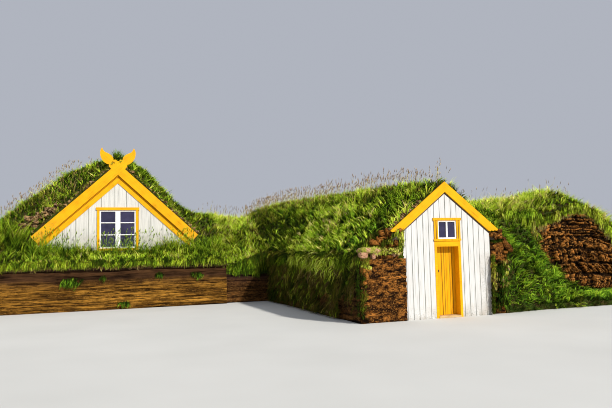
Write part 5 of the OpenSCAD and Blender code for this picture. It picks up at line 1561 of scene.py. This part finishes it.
fringe("fringe_wing", wing_path, forwards, 165, wing_reach, 213, kinds=(0.56, 0.26), light=(0.2, 1.3),
       back=0.03, wide=0.020, stand=0.45, up=0.25, lift=0.35)
fringe("fringe_wing_left", [(3.85, -4.06, 2.66), (6.9, -4.06, 2.72)], forwards, 150, (0.30, 0.80), 219,
       kinds=(0.52, 0.26), light=(0.20, 1.9), back=0.25, wide=0.024, stand=0.6, up=0.06, lift=0.5, sway=0.25)
fringe("straw_wing", wing_path[18:], forwards, 50, lambda p: tuple(0.8 * v for v in wing_reach(p)), 214,
       kinds=(0.86, 0.10), light=(0.5, 1.0), back=0.02, up=0.02, wide=0.010)
rng = np.random.default_rng(215)
many = 850
wall_x = 3.85 + 3.0 * rng.random(many)
wall_root = np.stack([wall_x, np.full(many, -4.03), rng.uniform(1.35, 2.55, many) - 0.25 * (wall_x > 6.3)], 1)
length = rng.uniform(0.25, 0.6, many)
tint = np.clip(0.52 + 0.5 * (noise(wall_root, 0.4, 216) - 0.5) + 0.12 * rng.normal(size=many), 0.05, 0.93)
bright = np.clip(0.45 + 2.2 * (noise(wall_root, 0.2, 217) - 0.4), 0.08, 1.6)
hanging("curtain_wing", wall_root, forwards, length, tint, bright, rng, wide=0.022, stand=0.4, sway=0.25)

# %% [markdown]
# ### Single stems
#
# Some stems stand above the rest: thin ones before the white gable, and ripe ones with brown
# heads along the ridges. A head is four short blades round the top of its stem.

# %% Stems with seed heads
def stems(name, p, high, seed, tint, head_tint, head=0.10, thick=0.006, lean=(0.10, -0.02)):
    """Thin stems at places p, each with a head of four short blades round its top."""
    rng = np.random.default_rng(seed)
    n = len(p)
    way = unit([0.0, 0, 1.0] + rng.normal(0, 0.13, (n, 3)) * [1, 1, 0] + [lean[0], lean[1], 0])
    bend = unit(way + rng.normal(0, 0.12, (n, 3)) * [1, 1, 0] + [lean[0], lean[1], 0])
    middle = p + way * high[:, None] * 0.5
    end = middle + bend * high[:, None] * 0.5
    line = np.stack([p - [0, 0, 0.03], middle, end], 1)
    heads = np.repeat(np.arange(n), 4)
    m = len(heads)
    low = end[heads] - bend[heads] * head * (0.2 + 0.9 * rng.random((m, 1)))
    out = rng.normal(size=(m, 3)) * [1, 1, 0.3] * 0.012
    ear = np.stack([low, low + bend[heads] * head * 0.35 + out, low + bend[heads] * head * 0.85 + out * 0.4], 1)
    grown = np.concatenate([line, ear])
    width = np.concatenate([np.full(n, thick), np.full(m, thick * 2.0)])
    tints = np.concatenate([np.full(n, tint), np.full(m, head_tint)]) + 0.03 * rng.normal(size=n + m)
    side = unit(rng.normal(size=(n + m, 3)) * [1, 1, 0.05])
    return blades(name, grown, width, side, np.clip(tints, 0.02, 0.985), np.full(n + m, 0.95), tip_share=0.8)


def on_turf(node, count, seed, keep):
    """At most count places on a node's turf, where keep allows them."""
    rng = np.random.default_rng(seed)
    p, _ = turf_places(node, 60, rng, everywhere, 0.15)
    p = p[keep(p)]
    return p[:count]


rng = np.random.default_rng(300)
many = 720
gable_x = np.concatenate([rng.uniform(-8.9, -3.2, many // 2), rng.normal(-8.1, 0.35, many // 6),
                          rng.normal(-5.6, 0.45, many // 6), rng.normal(-3.8, 0.35, many // 6)])
gable_y = rng.uniform(0.9, 1.33, len(gable_x))
gable_z = 1.60 + 0.12 * (gable_y - 0.9)
stems("stems_before_gable", np.stack([gable_x, gable_y, gable_z], 1),
      0.30 + 0.75 * rng.random(len(gable_x)) ** 2.2, 301, tint=0.36, head_tint=0.50, thick=0.009)
for name, node, count, seed, keep in [
        ("stems_left_slope", "left_turf_left", 260, 302,
         lambda p: (p[:, 1] < 4) & (p[:, 2] > 2.6) & (p[:, 2] < 4.6)),
        ("stems_middle_ridge", "door_turf_left", 760, 303, lambda p: p[:, 2] > 3.0),
        ("stems_middle_back", "door_turf_right", 260, 304, lambda p: p[:, 2] > 3.1),
        ("stems_wing", "wing_turf", 60, 305, lambda p: (p[:, 1] < -2.0) & (p[:, 2] > 2.6) & (p[:, 0] < 9)),
        ("stems_saddle", "saddle_turf", 90, 306, lambda p: p[:, 2] > 2.4)]:
    place = on_turf(node, count, seed, keep)
    stems(name, place, np.random.default_rng(seed).uniform(0.35, 0.70, len(place)), seed + 50, tint=0.80,
          head_tint=0.92)

# %% [markdown]
#
# At the end the number of blades and the frame's box are printed. The visual model has to
# stay inside the frame's box, apart from what grass may stand proud.

# %% Print the sizes and finish
print("blades in all:", sum(n for n, _ in made.values()))
print("box of the frame", [[round(v, 3) for v in c] for c in cad_box])
